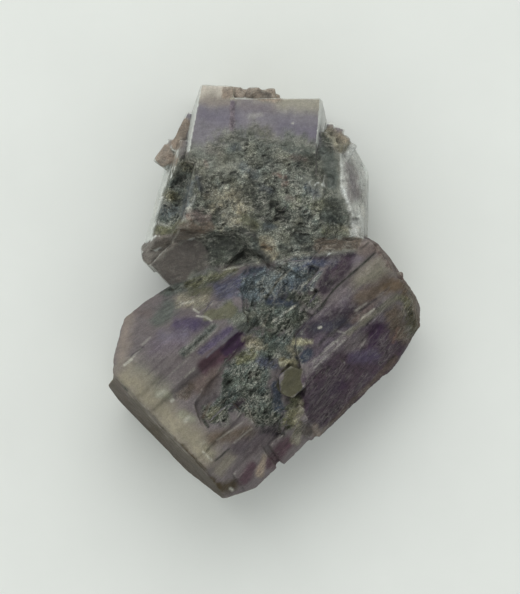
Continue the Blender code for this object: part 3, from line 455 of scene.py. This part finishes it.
def linear(name):
    """A palette colour in linear light."""
    value = np.array(PALETTE[name], float) / 255
    return OWN_SHARE * np.where(value <= 0.04045, value / 12.92, ((value + 0.055) / 1.055) ** 2.4)


def noise_at(points, size, seed):
    """Smooth noise between -1 and 1, with lumps of this size, in the points' own unit."""
    rng = np.random.default_rng(SEED * 1000 + seed)
    table = rng.uniform(-1, 1, (32, 32, 32))
    cell = points / np.asarray(size, float) + rng.uniform(0, 32, 3)
    low = np.floor(cell).astype(int)
    part = cell - low
    part = part * part * (3 - 2 * part)
    total = np.zeros(len(points))
    for corner in range(8):
        step = [(corner >> axis) & 1 for axis in range(3)]
        weight = np.ones(len(points))
        for axis in range(3):
            weight *= part[:, axis] if step[axis] else 1 - part[:, axis]
        index = (low + step) % 32
        total += weight * table[index[:, 0], index[:, 1], index[:, 2]]
    return total


def layered(points, size, seed, layers=3):
    """Noise with finer noise on top of it."""
    size = np.asarray(size, float)
    return sum(noise_at(points, size / 2**layer, seed + layer) / 1.8**layer for layer in range(layers))


def threads(points, size, seed):
    """Thin lines, 1 at their middle and 0 or less between them."""
    return 1 - 4.5 * np.abs(noise_at(points, size, seed))


def smooth_step(value, low, high):
    """0 below low, 1 above high and a smooth change between."""
    part = np.clip((value - low) / (high - low), 0, 1)
    return part * part * (3 - 2 * part)


def lay_over(below, above, amount):
    """Mixes a colour or a number over an array of them."""
    if below.ndim == 2:
        amount = amount[:, None]
    return below + (above - below) * amount


def own_frame(points, bearing):
    """Points turned so that X runs along a bearing."""
    angle = math.radians(bearing)
    along = points[:, 0] * math.cos(angle) + points[:, 1] * math.sin(angle)
    across = points[:, 1] * math.cos(angle) - points[:, 0] * math.sin(angle)
    return np.stack([along, across, points[:, 2]], axis=1)


def own_ends(normals, bearing):
    """How squarely each normal points along a bearing, either way, from 0 to 1."""
    angle = math.radians(bearing)
    return np.abs(normals @ np.array([math.cos(angle), math.sin(angle), 0.0]))


def seen_from_above(points):
    """Where the camera sees points, as places on LEVEL."""
    nearer = (CAMERA_HEIGHT - LEVEL) / (CAMERA_HEIGHT - points[:, 2])
    x = CAMERA_X + (points[:, 0] - CAMERA_X) * nearer
    y = CAMERA_Y + (points[:, 1] - CAMERA_Y) * nearer
    return np.stack([x, y], axis=1)


def beyond_seam(points):
    """How far points are on the upper crystal's side of the seam, in mm."""
    seam, places = np.array(SEAM), seen_from_above(points)
    return places[:, 1] - np.interp(places[:, 0], seam[:, 0], seam[:, 1])


def patch_cover(patch, places, frayed):
    """How much a patch covers each place, from 0 to 1, with its rough parts frayed at their edges."""
    start, end = np.array(patch.start), np.array(patch.end)
    side = end - start
    along = np.clip(((places - start) @ side) / (side @ side), 0, 1)
    away = np.linalg.norm(places - start - along[:, None] * side, axis=1)
    first, last = np.broadcast_to(patch.half, 2)
    half = first + (last - first) * along
    inside = half - away + patch.edge * (0.1 + 0.9 * patch.grain) * frayed
    return patch.strength * smooth_step(inside, -patch.edge, patch.edge)


class Surface:
    """The points of the fine copy with their normals and neighbours, in millimetres."""

    def __init__(self, mesh):
        self.mesh = mesh
        count = len(mesh.vertices)
        self.points = np.empty(count * 3)
        mesh.vertices.foreach_get("co", self.points)
        self.points = self.points.reshape(-1, 3)
        ends = np.empty(len(mesh.edges) * 2, int)
        mesh.edges.foreach_get("vertices", ends)
        self.ends = ends.reshape(-1, 2)
        quads = np.empty(len(mesh.polygons) * 4, int)
        mesh.polygons.foreach_get("vertices", quads)
        self.quads = quads.reshape(-1, 4)
        self.degree = np.bincount(ends, minlength=count)
        self.read_normals()

    def read_normals(self):
        """Takes the normals of the mesh as it is now."""
        self.mesh.update()
        normals = np.empty(len(self.points) * 3)
        self.mesh.vertices.foreach_get("normal", normals)
        self.normals = normals.reshape(-1, 3)

    def move_to(self, points):
        """Puts every point in a new place."""
        self.points = points
        self.mesh.vertices.foreach_set("co", self.points.ravel())
        self.read_normals()

    def average(self, values):
        """The mean of each point's neighbours."""
        total = np.zeros_like(values)
        for axis in range(values.shape[1]):
            for here, there in ((0, 1), (1, 0)):
                total[:, axis] += np.bincount(
                    self.ends[:, here], values[self.ends[:, there], axis], minlength=len(values)
                )
        return total / self.degree[:, None]

    def soften(self, amount, rounds):
        """Rounds the surface off, as much as amount says at each point."""
        points = self.points
        for _ in range(rounds):
            points = points + 0.7 * amount[:, None] * (self.average(points) - points)
        self.move_to(points)

    def relief(self, rounds):
        """How far each point stands above the surface smoothed this many times, in mm."""
        smooth = self.points
        for _ in range(rounds):
            smooth = 0.3 * smooth + 0.7 * self.average(smooth)
        return np.einsum("ij,ij->i", self.points - smooth, self.normals)


# ---------------------------------------------------------------- shape


def link(name, data):
    """A new object in the scene."""
    made = bpy.data.objects.new(name, data)
    bpy.context.scene.collection.objects.link(made)
    return made


def fine_copy(node):
    """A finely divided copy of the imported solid, in millimetres, as a mesh of quads."""
    mesh = bmesh.new()
    mesh.from_mesh(node.data)
    bmesh.ops.transform(mesh, matrix=Matrix.Scale(1 / MM, 4) @ node.matrix_world, verts=mesh.verts)
    bmesh.ops.remove_doubles(mesh, verts=mesh.verts, dist=WELD)
    data = bpy.data.meshes.new("coarse")
    mesh.to_mesh(data)
    mesh.free()
    coarse = link("coarse", data)
    fine = link("fine", data.copy())
    remesh = fine.modifiers.new("fine", "REMESH")
    remesh.mode = "VOXEL"
    remesh.voxel_size = VOXEL
    wrap = fine.modifiers.new("wrap", "SHRINKWRAP")
    wrap.target = coarse
    wrap.wrap_method = "NEAREST_SURFACEPOINT"
    graph = bpy.context.evaluated_depsgraph_get()
    made = bpy.data.meshes.new_from_object(fine.evaluated_get(graph))
    bpy.data.objects.remove(coarse)
    bpy.data.objects.remove(fine)
    return made


# ---------------------------------------------------------------- relief and colour


def upper_base(own, normals):
    """The upper crystal away from its patches: tan at its free end, then lilac, then greyish green."""
    cloud = smooth_step(-own[:, 0] + noise_at(own, 4.0, 20), -23, -20)
    colour = np.tile(linear("lilac"), (len(own), 1))
    colour = lay_over(colour, linear("pale_matrix"), cloud)
    side = cloud * (1 - smooth_step(normals[:, 2], 0.1, 0.4))
    colour = lay_over(colour, linear("lilac_grey"), side * smooth_step(layered(own, 6.0, 22), -0.4, 0.4))
    colour = lay_over(colour, linear("tan"), smooth_step(own[:, 0] + noise_at(own, 2.0, 21), 26.0, 29.0))
    colour = lay_over(colour, linear("tan"), 0.9 * smooth_step(own_ends(normals, UPPER_AXIS), 0.75, 0.9))
    return colour, 0.12 + 0.1 * cloud


def lower_base(own, normals):
    """The lower crystal away from its patches: brown end faces, tan, then lilac, and purple in the middle."""
    count = len(own)
    middle = own[:, 0] - LOWER_MIDDLE
    cloud = smooth_step(layered(own, (9.0, 4.0, 4.0), 30), -0.3, 0.4)
    colour = np.tile(linear("lilac"), (count, 1))
    colour = lay_over(colour, linear("violet"), cloud * smooth_step(13 - np.abs(middle), 0, 6))
    bands = smooth_step(np.abs(middle) + 1.5 * noise_at(own, (6.0, 1.2, 1.2), 31), 14.5, 19.5)
    colour = lay_over(colour, linear("tan"), bands)
    ends = smooth_step(own_ends(normals, LOWER_AXIS), 0.75, 0.9)
    colour = lay_over(colour, linear("foot"), 0.9 * ends)
    return colour, 0.12 + 0.2 * cloud * (1 - ends)


# How a crystal is dressed. bearing is its axis, and fibres the bearing of the threads in its matrix. streak
# is how far colour runs along the axis, in mm, and lines how strong its striations are. Clean faces get a
# pale painted reflection as they tilt, until they are steep: tilt holds minus the height of the normal where
# that starts and where it ends. sheen is how strongly the surface mirrors, and dull the roughness of its
# clean faces.
Crystal = namedtuple("Crystal", "bearing fibres streak lines tilt sheen dull patches base")

CRYSTALS = (
    Crystal(UPPER_AXIS, 12.0, 0.15, 0.2, (-0.9, -0.75), 0.36, 0.34, UPPER_PATCHES, upper_base),
    Crystal(LOWER_AXIS, 50.0, 0.25, 0.7, NEVER_PALE, 0.14, 0.62, LOWER_PATCHES, lower_base),
)


def paint(points, normals, crystal):
    """The colour and the grain of points, from their places."""
    own = own_frame(points, crystal.bearing)
    colour, grain = crystal.base(own, normals)
    streaks = noise_at(own, (9.0, 0.55, 2.0), 1) + 0.6 * noise_at(own, (5.0, 0.25, 1.0), 2)
    shift_along = crystal.streak * streaks + 0.6 * noise_at(own, 1.6, 3)
    shift_across = 0.45 * noise_at(own, 1.7, 4) + 0.2 * noise_at(own, 0.6, 5)
    frayed = 0.9 * noise_at(own, (0.9, 0.6, 0.6), 6) + 0.7 * noise_at(own, (0.45, 0.3, 0.3), 7)
    angle = math.radians(crystal.bearing)
    places = seen_from_above(points)
    shift = np.stack([
        shift_along * math.cos(angle) - shift_across * math.sin(angle),
        shift_along * math.sin(angle) + shift_across * math.cos(angle),
    ], axis=1)
    upward = smooth_step(normals[:, 2], -0.05, 0.25)
    for patch in map(Patch._make, crystal.patches):
        drift = min(1.0, sum(np.broadcast_to(patch.half, 2)) / WIDE_PATCH)
        cover = patch_cover(patch, places + drift * shift, frayed) * upward
        colour = lay_over(colour, linear(patch.colour), cover)
        grain = lay_over(grain, patch.grain, cover)
    # Clean faces that tilt, short of upright, get a painted pale reflection.
    reflecting = smooth_step(-normals[:, 2], *crystal.tilt) * smooth_step(normals[:, 2], 0.02, 0.14)
    reflecting *= 1 - smooth_step(grain, 0.22, 0.34)
    return lay_over(colour, linear("painted_reflection"), 0.9 * reflecting), grain


class Texture:
    """The patterns that a crystal's relief and its colour have in common, at points."""

    def __init__(self, points, crystal):
        self.own = own_frame(points, crystal.bearing)
        self.lumps = layered(self.own, (2.2, 1.4, 1.4), 50, 2)
        one, other = own_frame(points, crystal.fibres), own_frame(points, crystal.fibres - 34)
        self.fibres = np.maximum(threads(one, (3.0, 0.55, 0.55), 53), threads(other, (2.0, 0.45, 0.45), 54))
        self.fine_fibres = threads(one, (1.3, 0.3, 0.3), 55)
        self.pits = smooth_step(layered(one, (1.1, 0.5, 0.5), 56, 3), 0.45, 0.95)
        self.gloom = smooth_step(layered(self.own, (2.6, 1.8, 1.8), 74, 4), 0.15, 0.55)
        self.grit = noise_at(self.own, 0.4, 59) + 0.6 * noise_at(self.own, 0.22, 60)
        leaning = noise_at(self.own, 2.2, 80) + 0.5 * noise_at(self.own, 1.0, 81)
        share = np.clip((leaning + 1.1) / 2.2, 0, 1) * (len(STROKES) - 1)
        self.strokes = np.zeros(len(points))
        for index, bearing in enumerate(STROKES):
            stroke = noise_at(own_frame(points, crystal.fibres + bearing), (1.3, 0.32, 0.32), 82 + index)
            self.strokes += stroke * np.clip(1.4 - np.abs(share - index), 0, 1)


def carve(normals, grain, edge, texture, crystal):
    """How far the relief raises each point, in mm: striations on clean faces, threads and pits in matrix."""
    own = texture.own
    clean = np.clip(1 - 1.3 * grain, 0, 1)
    ends = smooth_step(own_ends(normals, crystal.bearing), 0.6, 0.85)
    lined = clean * (1 - ends) * crystal.lines * smooth_step(grain, 0.03, 0.15)
    steps = np.tanh(3 * noise_at(own, (14.0, 1.5, 1.5), 40))
    steps += 0.6 * np.tanh(3 * noise_at(own, (8.0, 0.7, 0.7), 41))
    heights = lined * (RELIEF["steps"] * steps + RELIEF["lines"] * layered(own, (6.0, 0.45, 0.45), 42, 2))
    heights += clean * RELIEF["waves"] * layered(own, 2.5, 45)
    heights += ends * clean * RELIEF["end_waves"] * layered(own, 0.8, 48)
    hollows = RELIEF["pits"] * texture.pits
    heights += grain * (RELIEF["lumps"] * texture.lumps - hollows - RELIEF["gloom"] * texture.gloom)
    heights += grain * (RELIEF["strokes"] * texture.strokes + RELIEF["grit"] * texture.grit)
    fibres = RELIEF["fibres"] * np.clip(texture.fibres, 0, 1)
    heights += grain * (fibres + RELIEF["fine_fibres"] * np.clip(texture.fine_fibres, 0, 1))
    chips = smooth_step(layered(own, 0.9, 47), 0.1, 0.6)
    return heights - RELIEF["chips"] * edge * chips - RELIEF["wear_and_highlight"] * edge


def weather(colour, grain, near, broad, texture, lines):
    """Adds speckle, dark patches, pale threads, painted shade in pits and hollows, and painted glints and
    highlights on edges to a colour.
    """
    own = texture.own
    streak = layered(own, (7.0, 0.5, 0.5), 60, 2) + 0.6 * noise_at(own, (3.0, 0.24, 0.24), 64)
    mottle = noise_at(own, 0.5, 63) + 0.8 * noise_at(own, 0.28, 61)
    lined = lines * smooth_step(grain, 0.03, 0.2)
    clean = (1 - grain) * (TONE["streaks"] * lined * streak + TONE["mottle"] * mottle)
    clean = clean + TONE["clouds"] * layered(own, 3.0, 62, 4)
    speck = noise_at(own, (0.55, 0.4, 0.4), 65) + noise_at(own, (0.28, 0.22, 0.22), 66)
    rough = TONE["lumps"] * layered(own, (2.4, 1.5, 1.5), 75, 2)
    rough = TONE["specks"] * speck + TONE["strokes"] * texture.strokes + rough
    colour = colour * np.exp(clean + grain * rough)[:, None]
    warmth = (noise_at(own, (2.2, 1.4, 1.4), 67) + 0.5 * noise_at(own, 0.6, 68)) * grain
    colour = colour * (1 + TONE["warmth"] * warmth[:, None] * np.array([1.0, 0.0, -1.2]))
    # Painted shade darkens the pits towards black, and the gloomy patches darken too.
    dark = (TONE["pits"] * texture.pits + TONE["gloom"] * texture.gloom) * grain
    colour = lay_over(colour, linear("black"), dark)
    pale = smooth_step(np.maximum(texture.fibres, texture.fine_fibres), 0.3, 0.9)
    seen = TONE["threads"] * grain * smooth_step(layered(own, 1.8, 70), -0.5, 0.5)
    colour = lay_over(colour, linear("chalk_and_highlight"), seen * pale)
    # Painted glints: pale specks, mostly in the matrix.
    glints = smooth_step(noise_at(own, (0.4, 0.3, 0.3), 71), 0.6, 0.85)
    colour = lay_over(colour, linear("chalk_and_highlight"), TONE["glints"] * glints * (0.03 + grain))
    # Painted shade in the broad hollows.
    colour = colour * (1 - TONE["hollows"] * np.clip(-broad / 0.18, 0, 1))[:, None]
    # Raised edges get a painted highlight.
    highlit = np.clip((near - 0.015) / 0.05, 0, 1) * smooth_step(layered(own, 1.4, 72), -0.1, 0.7)
    return lay_over(colour, linear("chalk_and_highlight"), TONE["wear_and_highlight"] * highlit * (1 - 0.5 * grain))


def dress(surface):
    """Works the relief into the surface, and returns the colour and the grain of its points."""
    count = len(surface.points)
    colour, grain, heights = np.zeros((count, 3)), np.zeros(count), np.zeros(count)
    upper = smooth_step(beyond_seam(surface.points), -SEAM_BLEND, SEAM_BLEND)
    sides = []
    for crystal, share in zip(CRYSTALS, (upper, 1 - upper)):
        chosen = np.flatnonzero(share > 0)
        sides.append((crystal, chosen, share[chosen], Texture(surface.points[chosen], crystal)))
    for crystal, chosen, share, texture in sides:
        painted, rough = paint(surface.points[chosen], surface.normals[chosen], crystal)
        colour[chosen] += share[:, None] * painted
        grain[chosen] += share * rough
    surface.soften(np.clip(0.12 + grain, 0, 1), SOFT_ROUNDS)
    edge = np.clip(surface.relief(EDGE_ROUNDS) / 0.05, 0, 1)
    for crystal, chosen, share, texture in sides:
        raised = carve(surface.normals[chosen], grain[chosen], edge[chosen], texture, crystal)
        heights[chosen] += share * raised
    surface.move_to(surface.points + surface.normals * heights[:, None])
    near, broad = surface.relief(EDGE_ROUNDS), surface.relief(FORM_ROUNDS)
    # The colour with its speckle, painted shade and painted highlights.
    highlit = np.zeros((count, 3))
    for crystal, chosen, share, texture in sides:
        shade = (colour[chosen], grain[chosen], near[chosen], broad[chosen])
        highlit[chosen] += share[:, None] * weather(*shade, texture, crystal.lines)
    return highlit, grain


def piece_of(name, surface, quads, colour, grain, material):
    """A part of the surface as a piece of its own, with the whole surface's normals."""
    used, corners = np.unique(quads, return_inverse=True)
    data = bpy.data.meshes.new(name)
    data.from_pydata(surface.points[used] * MM, [], corners.reshape(-1, 4))
    data.shade_smooth()
    data.normals_split_custom_set_from_vertices(surface.normals[used])
    tint = data.color_attributes.new("tint", "FLOAT_COLOR", "POINT")
    tint.data.foreach_set("color", np.hstack([np.clip(colour[used], 0, 1), np.ones((len(used), 1))]).ravel())
    kept = data.attributes.new("grain", "FLOAT", "POINT")
    kept.data.foreach_set("value", np.clip(grain[used], 0, 1))
    data.materials.append(material)
    piece = link(name, data)
    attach(piece, "root")
    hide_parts(NODE)


def make_crystals(node):
    """The whole cluster, dressed, in pieces that each stay below the most triangles allowed."""
    surface = Surface(fine_copy(node))
    colour, grain = dress(surface)
    centres = surface.points[surface.quads].mean(axis=1)
    upper = beyond_seam(centres) > 0
    top = centres[:, 2] > SPLIT_LEVEL
    left = own_frame(centres, LOWER_AXIS)[:, 1] > LOWER_SPLIT
    upper_material = crystal_material("upper_aragonite", CRYSTALS[0])
    lower_material = crystal_material("lower_aragonite", CRYSTALS[1])
    for name, chosen, material in (
        ("upper_crystal", upper & top, upper_material),
        ("upper_crystal_base", upper & ~top, upper_material),
        ("lower_crystal_left", ~upper & top & left, lower_material),
        ("lower_crystal_right", ~upper & top & ~left, lower_material),
        ("lower_crystal_base", ~upper & ~top, lower_material),
    ):
        piece_of(name, surface, surface.quads[chosen], colour, grain, material)


# ---------------------------------------------------------------- materials


class Nodes:
    """Adds shader nodes to a material and links them."""

    def __init__(self, material):
        material.use_nodes = True
        self.tree = material.node_tree
        self.tree.nodes.clear()

    def add(self, kind, **settings):
        """A node with its properties set."""
        node = self.tree.nodes.new(kind)
        for key, value in settings.items():
            setattr(node, key, value)
        return node

    def put(self, socket, value):
        """Links a socket to another node's output, or sets its value."""
        if isinstance(value, bpy.types.NodeSocket):
            self.tree.links.new(value, socket)
        else:
            socket.default_value = value

    def math(self, operation, first, second=0.0):
        """One sum on two values."""
        node = self.add("ShaderNodeMath", operation=operation)
        self.put(node.inputs[0], first)
        self.put(node.inputs[1], second)
        return node.outputs[0]

    def noise(self, place, scale, detail, roughness=0.6):
        """Noise at a place, between 0 and 1."""
        node = self.add("ShaderNodeTexNoise")
        self.put(node.inputs["Vector"], place)
        node.inputs["Scale"].default_value = scale
        node.inputs["Detail"].default_value = detail
        node.inputs["Roughness"].default_value = roughness
        return node.outputs["Fac"]

    def ramp(self, value, low, high, to_low, to_high):
        """Maps one range of values to another and stops at its ends."""
        node = self.add("ShaderNodeMapRange", clamp=True)
        self.put(node.inputs["Value"], value)
        for key, number in zip(("From Min", "From Max", "To Min", "To Max"), (low, high, to_low, to_high)):
            node.inputs[key].default_value = number
        return node.outputs[0]

    def multiplied(self, first, second):
        """A colour multiplied by another, or by a number."""
        node = self.add("ShaderNodeMix", data_type="RGBA", blend_type="MULTIPLY")
        node.inputs["Factor"].default_value = 1.0
        self.put(node.inputs[6], first)
        self.put(node.inputs[7], second)
        return node.outputs[2]

    def show(self, kind, surface):
        """Sends a surface to an output node of this kind."""
        self.put(self.add(kind).inputs["Surface"], surface)

    def turned(self, place, bearing, stretch):
        """A place turned to a bearing and stretched along it."""
        node = self.add("ShaderNodeMapping", vector_type="TEXTURE")
        self.put(node.inputs["Vector"], place)
        node.inputs["Rotation"].default_value = (0, 0, math.radians(bearing))
        node.inputs["Scale"].default_value = (stretch, 1.0, 1.0)
        return node.outputs[0]


def crystal_material(name, crystal):
    """Aragonite with its striations along the crystal's axis and threads in its matrix."""
    material = bpy.data.materials.new(name)
    nodes = Nodes(material)
    tint = nodes.add("ShaderNodeAttribute", attribute_name="tint")
    grain = nodes.add("ShaderNodeAttribute", attribute_name="grain").outputs["Fac"]
    place = nodes.add("ShaderNodeTexCoord").outputs["Object"]
    streak = nodes.noise(nodes.turned(place, crystal.bearing, 9.0), 2600.0, 3.0)
    thread = nodes.noise(nodes.turned(place, crystal.fibres, 6.0), 3600.0, 2.0)
    thread = nodes.ramp(nodes.math("ABSOLUTE", nodes.math("SUBTRACT", thread, 0.5)), 0.0, 0.05, 1.0, 0.0)
    speck = nodes.noise(place, 5600.0, 2.0, 0.7)
    broad = nodes.noise(place, 700.0, 3.0)
    speckle = nodes.math("MULTIPLY", nodes.ramp(speck, 0.3, 0.7, -0.8, 0.8), nodes.math("ADD", grain, 0.15))
    strength = 0.4 * crystal.lines
    lines = nodes.ramp(streak, 0.25, 0.75, -strength, strength)
    lines = nodes.math("MULTIPLY", lines, nodes.ramp(grain, 0.03, 0.2, 0.15, 1.0))
    lines = nodes.math("MULTIPLY", lines, nodes.math("SUBTRACT", 1.0, grain))
    pale = nodes.math("MULTIPLY", nodes.math("MULTIPLY", thread, 0.5), grain)
    value = nodes.math("POWER", math.e, nodes.math("ADD", nodes.math("ADD", speckle, lines), pale))
    uneven = nodes.ramp(broad, 0.3, 0.7, -0.07, 0.10)
    rough = nodes.math("ADD", nodes.ramp(grain, 0.0, 1.0, crystal.dull, MATRIX_DULL), uneven)
    height = nodes.math("MULTIPLY", nodes.math("ADD", speck, thread), nodes.math("ADD", grain, 0.08))
    height = nodes.math("ADD", height, nodes.math("MULTIPLY", streak, 0.25))
    bump = nodes.add("ShaderNodeBump")
    bump.inputs["Strength"].default_value = BUMP
    bump.inputs["Distance"].default_value = BUMP_DEPTH
    nodes.put(bump.inputs["Height"], height)
    shader = nodes.add("ShaderNodeBsdfPrincipled")
    nodes.put(shader.inputs["Base Color"], nodes.multiplied(tint.outputs["Color"], value))
    nodes.put(shader.inputs["Roughness"], rough)
    nodes.put(shader.inputs["Normal"], bump.outputs[0])
    shader.inputs["IOR"].default_value = STONE_IOR
    shader.inputs["Specular IOR Level"].default_value = crystal.sheen
    nodes.put(shader.inputs["Subsurface Weight"], nodes.ramp(grain, 0.1, 0.7, GLOW, 0.0))
    shader.inputs["Subsurface Radius"].default_value = GLOW_TINT
    shader.inputs["Subsurface Scale"].default_value = GLOW_DEPTH
    nodes.show("ShaderNodeOutputMaterial", shader.outputs[0])
    return material


# ---------------------------------------------------------------- stage


def table_material():
    """Plain pale table top."""
    material = bpy.data.materials.new("table")
    nodes = Nodes(material)
    place = nodes.add("ShaderNodeTexCoord").outputs["Object"]
    mottle = nodes.ramp(nodes.noise(place, 60.0, 4.0), 0.3, 0.7, 0.985, 1.015)
    shader = nodes.add("ShaderNodeBsdfPrincipled")
    nodes.put(shader.inputs["Base Color"], nodes.multiplied((*TABLE, 1.0), mottle))
    shader.inputs["Roughness"].default_value = TABLE_DULL
    shader.inputs["IOR"].default_value = TABLE_IOR
    nodes.show("ShaderNodeOutputMaterial", shader.outputs[0])
    return material


def make_table():
    """The table, well wider than the view."""
    mesh = bmesh.new()
    bmesh.ops.create_grid(mesh, x_segments=1, y_segments=1, size=TABLE_SIZE)
    data = bpy.data.meshes.new("table")
    mesh.to_mesh(data)
    mesh.free()
    table = link("table", data)
    data.materials.append(table_material())


def make_camera():
    """The camera, looking straight down."""
    data = bpy.data.cameras.new("camera")
    data.sensor_fit = "VERTICAL"
    data.sensor_height = SENSOR
    data.lens = SENSOR * (CAMERA_HEIGHT - LEVEL) / FRAME_HEIGHT
    data.clip_start = CLIP_START
    camera = link("camera", data)
    camera.location = (CAMERA_X * MM, CAMERA_Y * MM, CAMERA_HEIGHT * MM)
    bpy.context.scene.camera = camera


def make_window():
    """A square soft light that faces the cluster."""
    data = bpy.data.lights.new("window", "AREA")
    data.shape = "SQUARE"
    data.size = WINDOW_SIZE
    data.energy = WINDOW_POWER
    data.color = WINDOW_TINT
    light = link("window", data)
    light.location = WINDOW_PLACE
    facing = Vector(WINDOW_TARGET) - Vector(WINDOW_PLACE)
    light.rotation_euler = facing.to_track_quat("-Z", "Y").to_euler()


def make_world():
    """Pale surroundings, brightest halfway up and dark overhead, where the camera is held."""
    world = bpy.data.worlds.new("room")
    bpy.context.scene.world = world
    nodes = Nodes(world)
    direction = nodes.add("ShaderNodeTexCoord").outputs["Generated"]
    parts = nodes.add("ShaderNodeSeparateXYZ")
    nodes.put(parts.inputs[0], direction)
    rising = nodes.ramp(parts.outputs["Z"], 0.05, 0.6, WORLD_LOW, WORLD_HIGH)
    bright = nodes.math("MULTIPLY", rising, nodes.ramp(parts.outputs["Z"], 0.82, 0.97, 1.0, WORLD_TOP))
    background = nodes.add("ShaderNodeBackground")
    background.inputs["Color"].default_value = (*WORLD_TINT, 1.0)
    nodes.put(background.inputs["Strength"], bright)
    nodes.show("ShaderNodeOutputWorld", background.outputs[0])


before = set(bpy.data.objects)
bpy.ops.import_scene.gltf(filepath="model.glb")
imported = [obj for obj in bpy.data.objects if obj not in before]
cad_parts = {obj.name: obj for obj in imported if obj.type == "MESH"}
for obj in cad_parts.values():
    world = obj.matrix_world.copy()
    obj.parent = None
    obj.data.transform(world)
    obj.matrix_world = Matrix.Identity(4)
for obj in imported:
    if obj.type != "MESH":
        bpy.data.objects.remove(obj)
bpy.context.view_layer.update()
make_crystals(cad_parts[NODE])
make_table()
make_camera()
make_world()
make_window()
bpy.context.scene.view_settings.view_transform = "Standard"
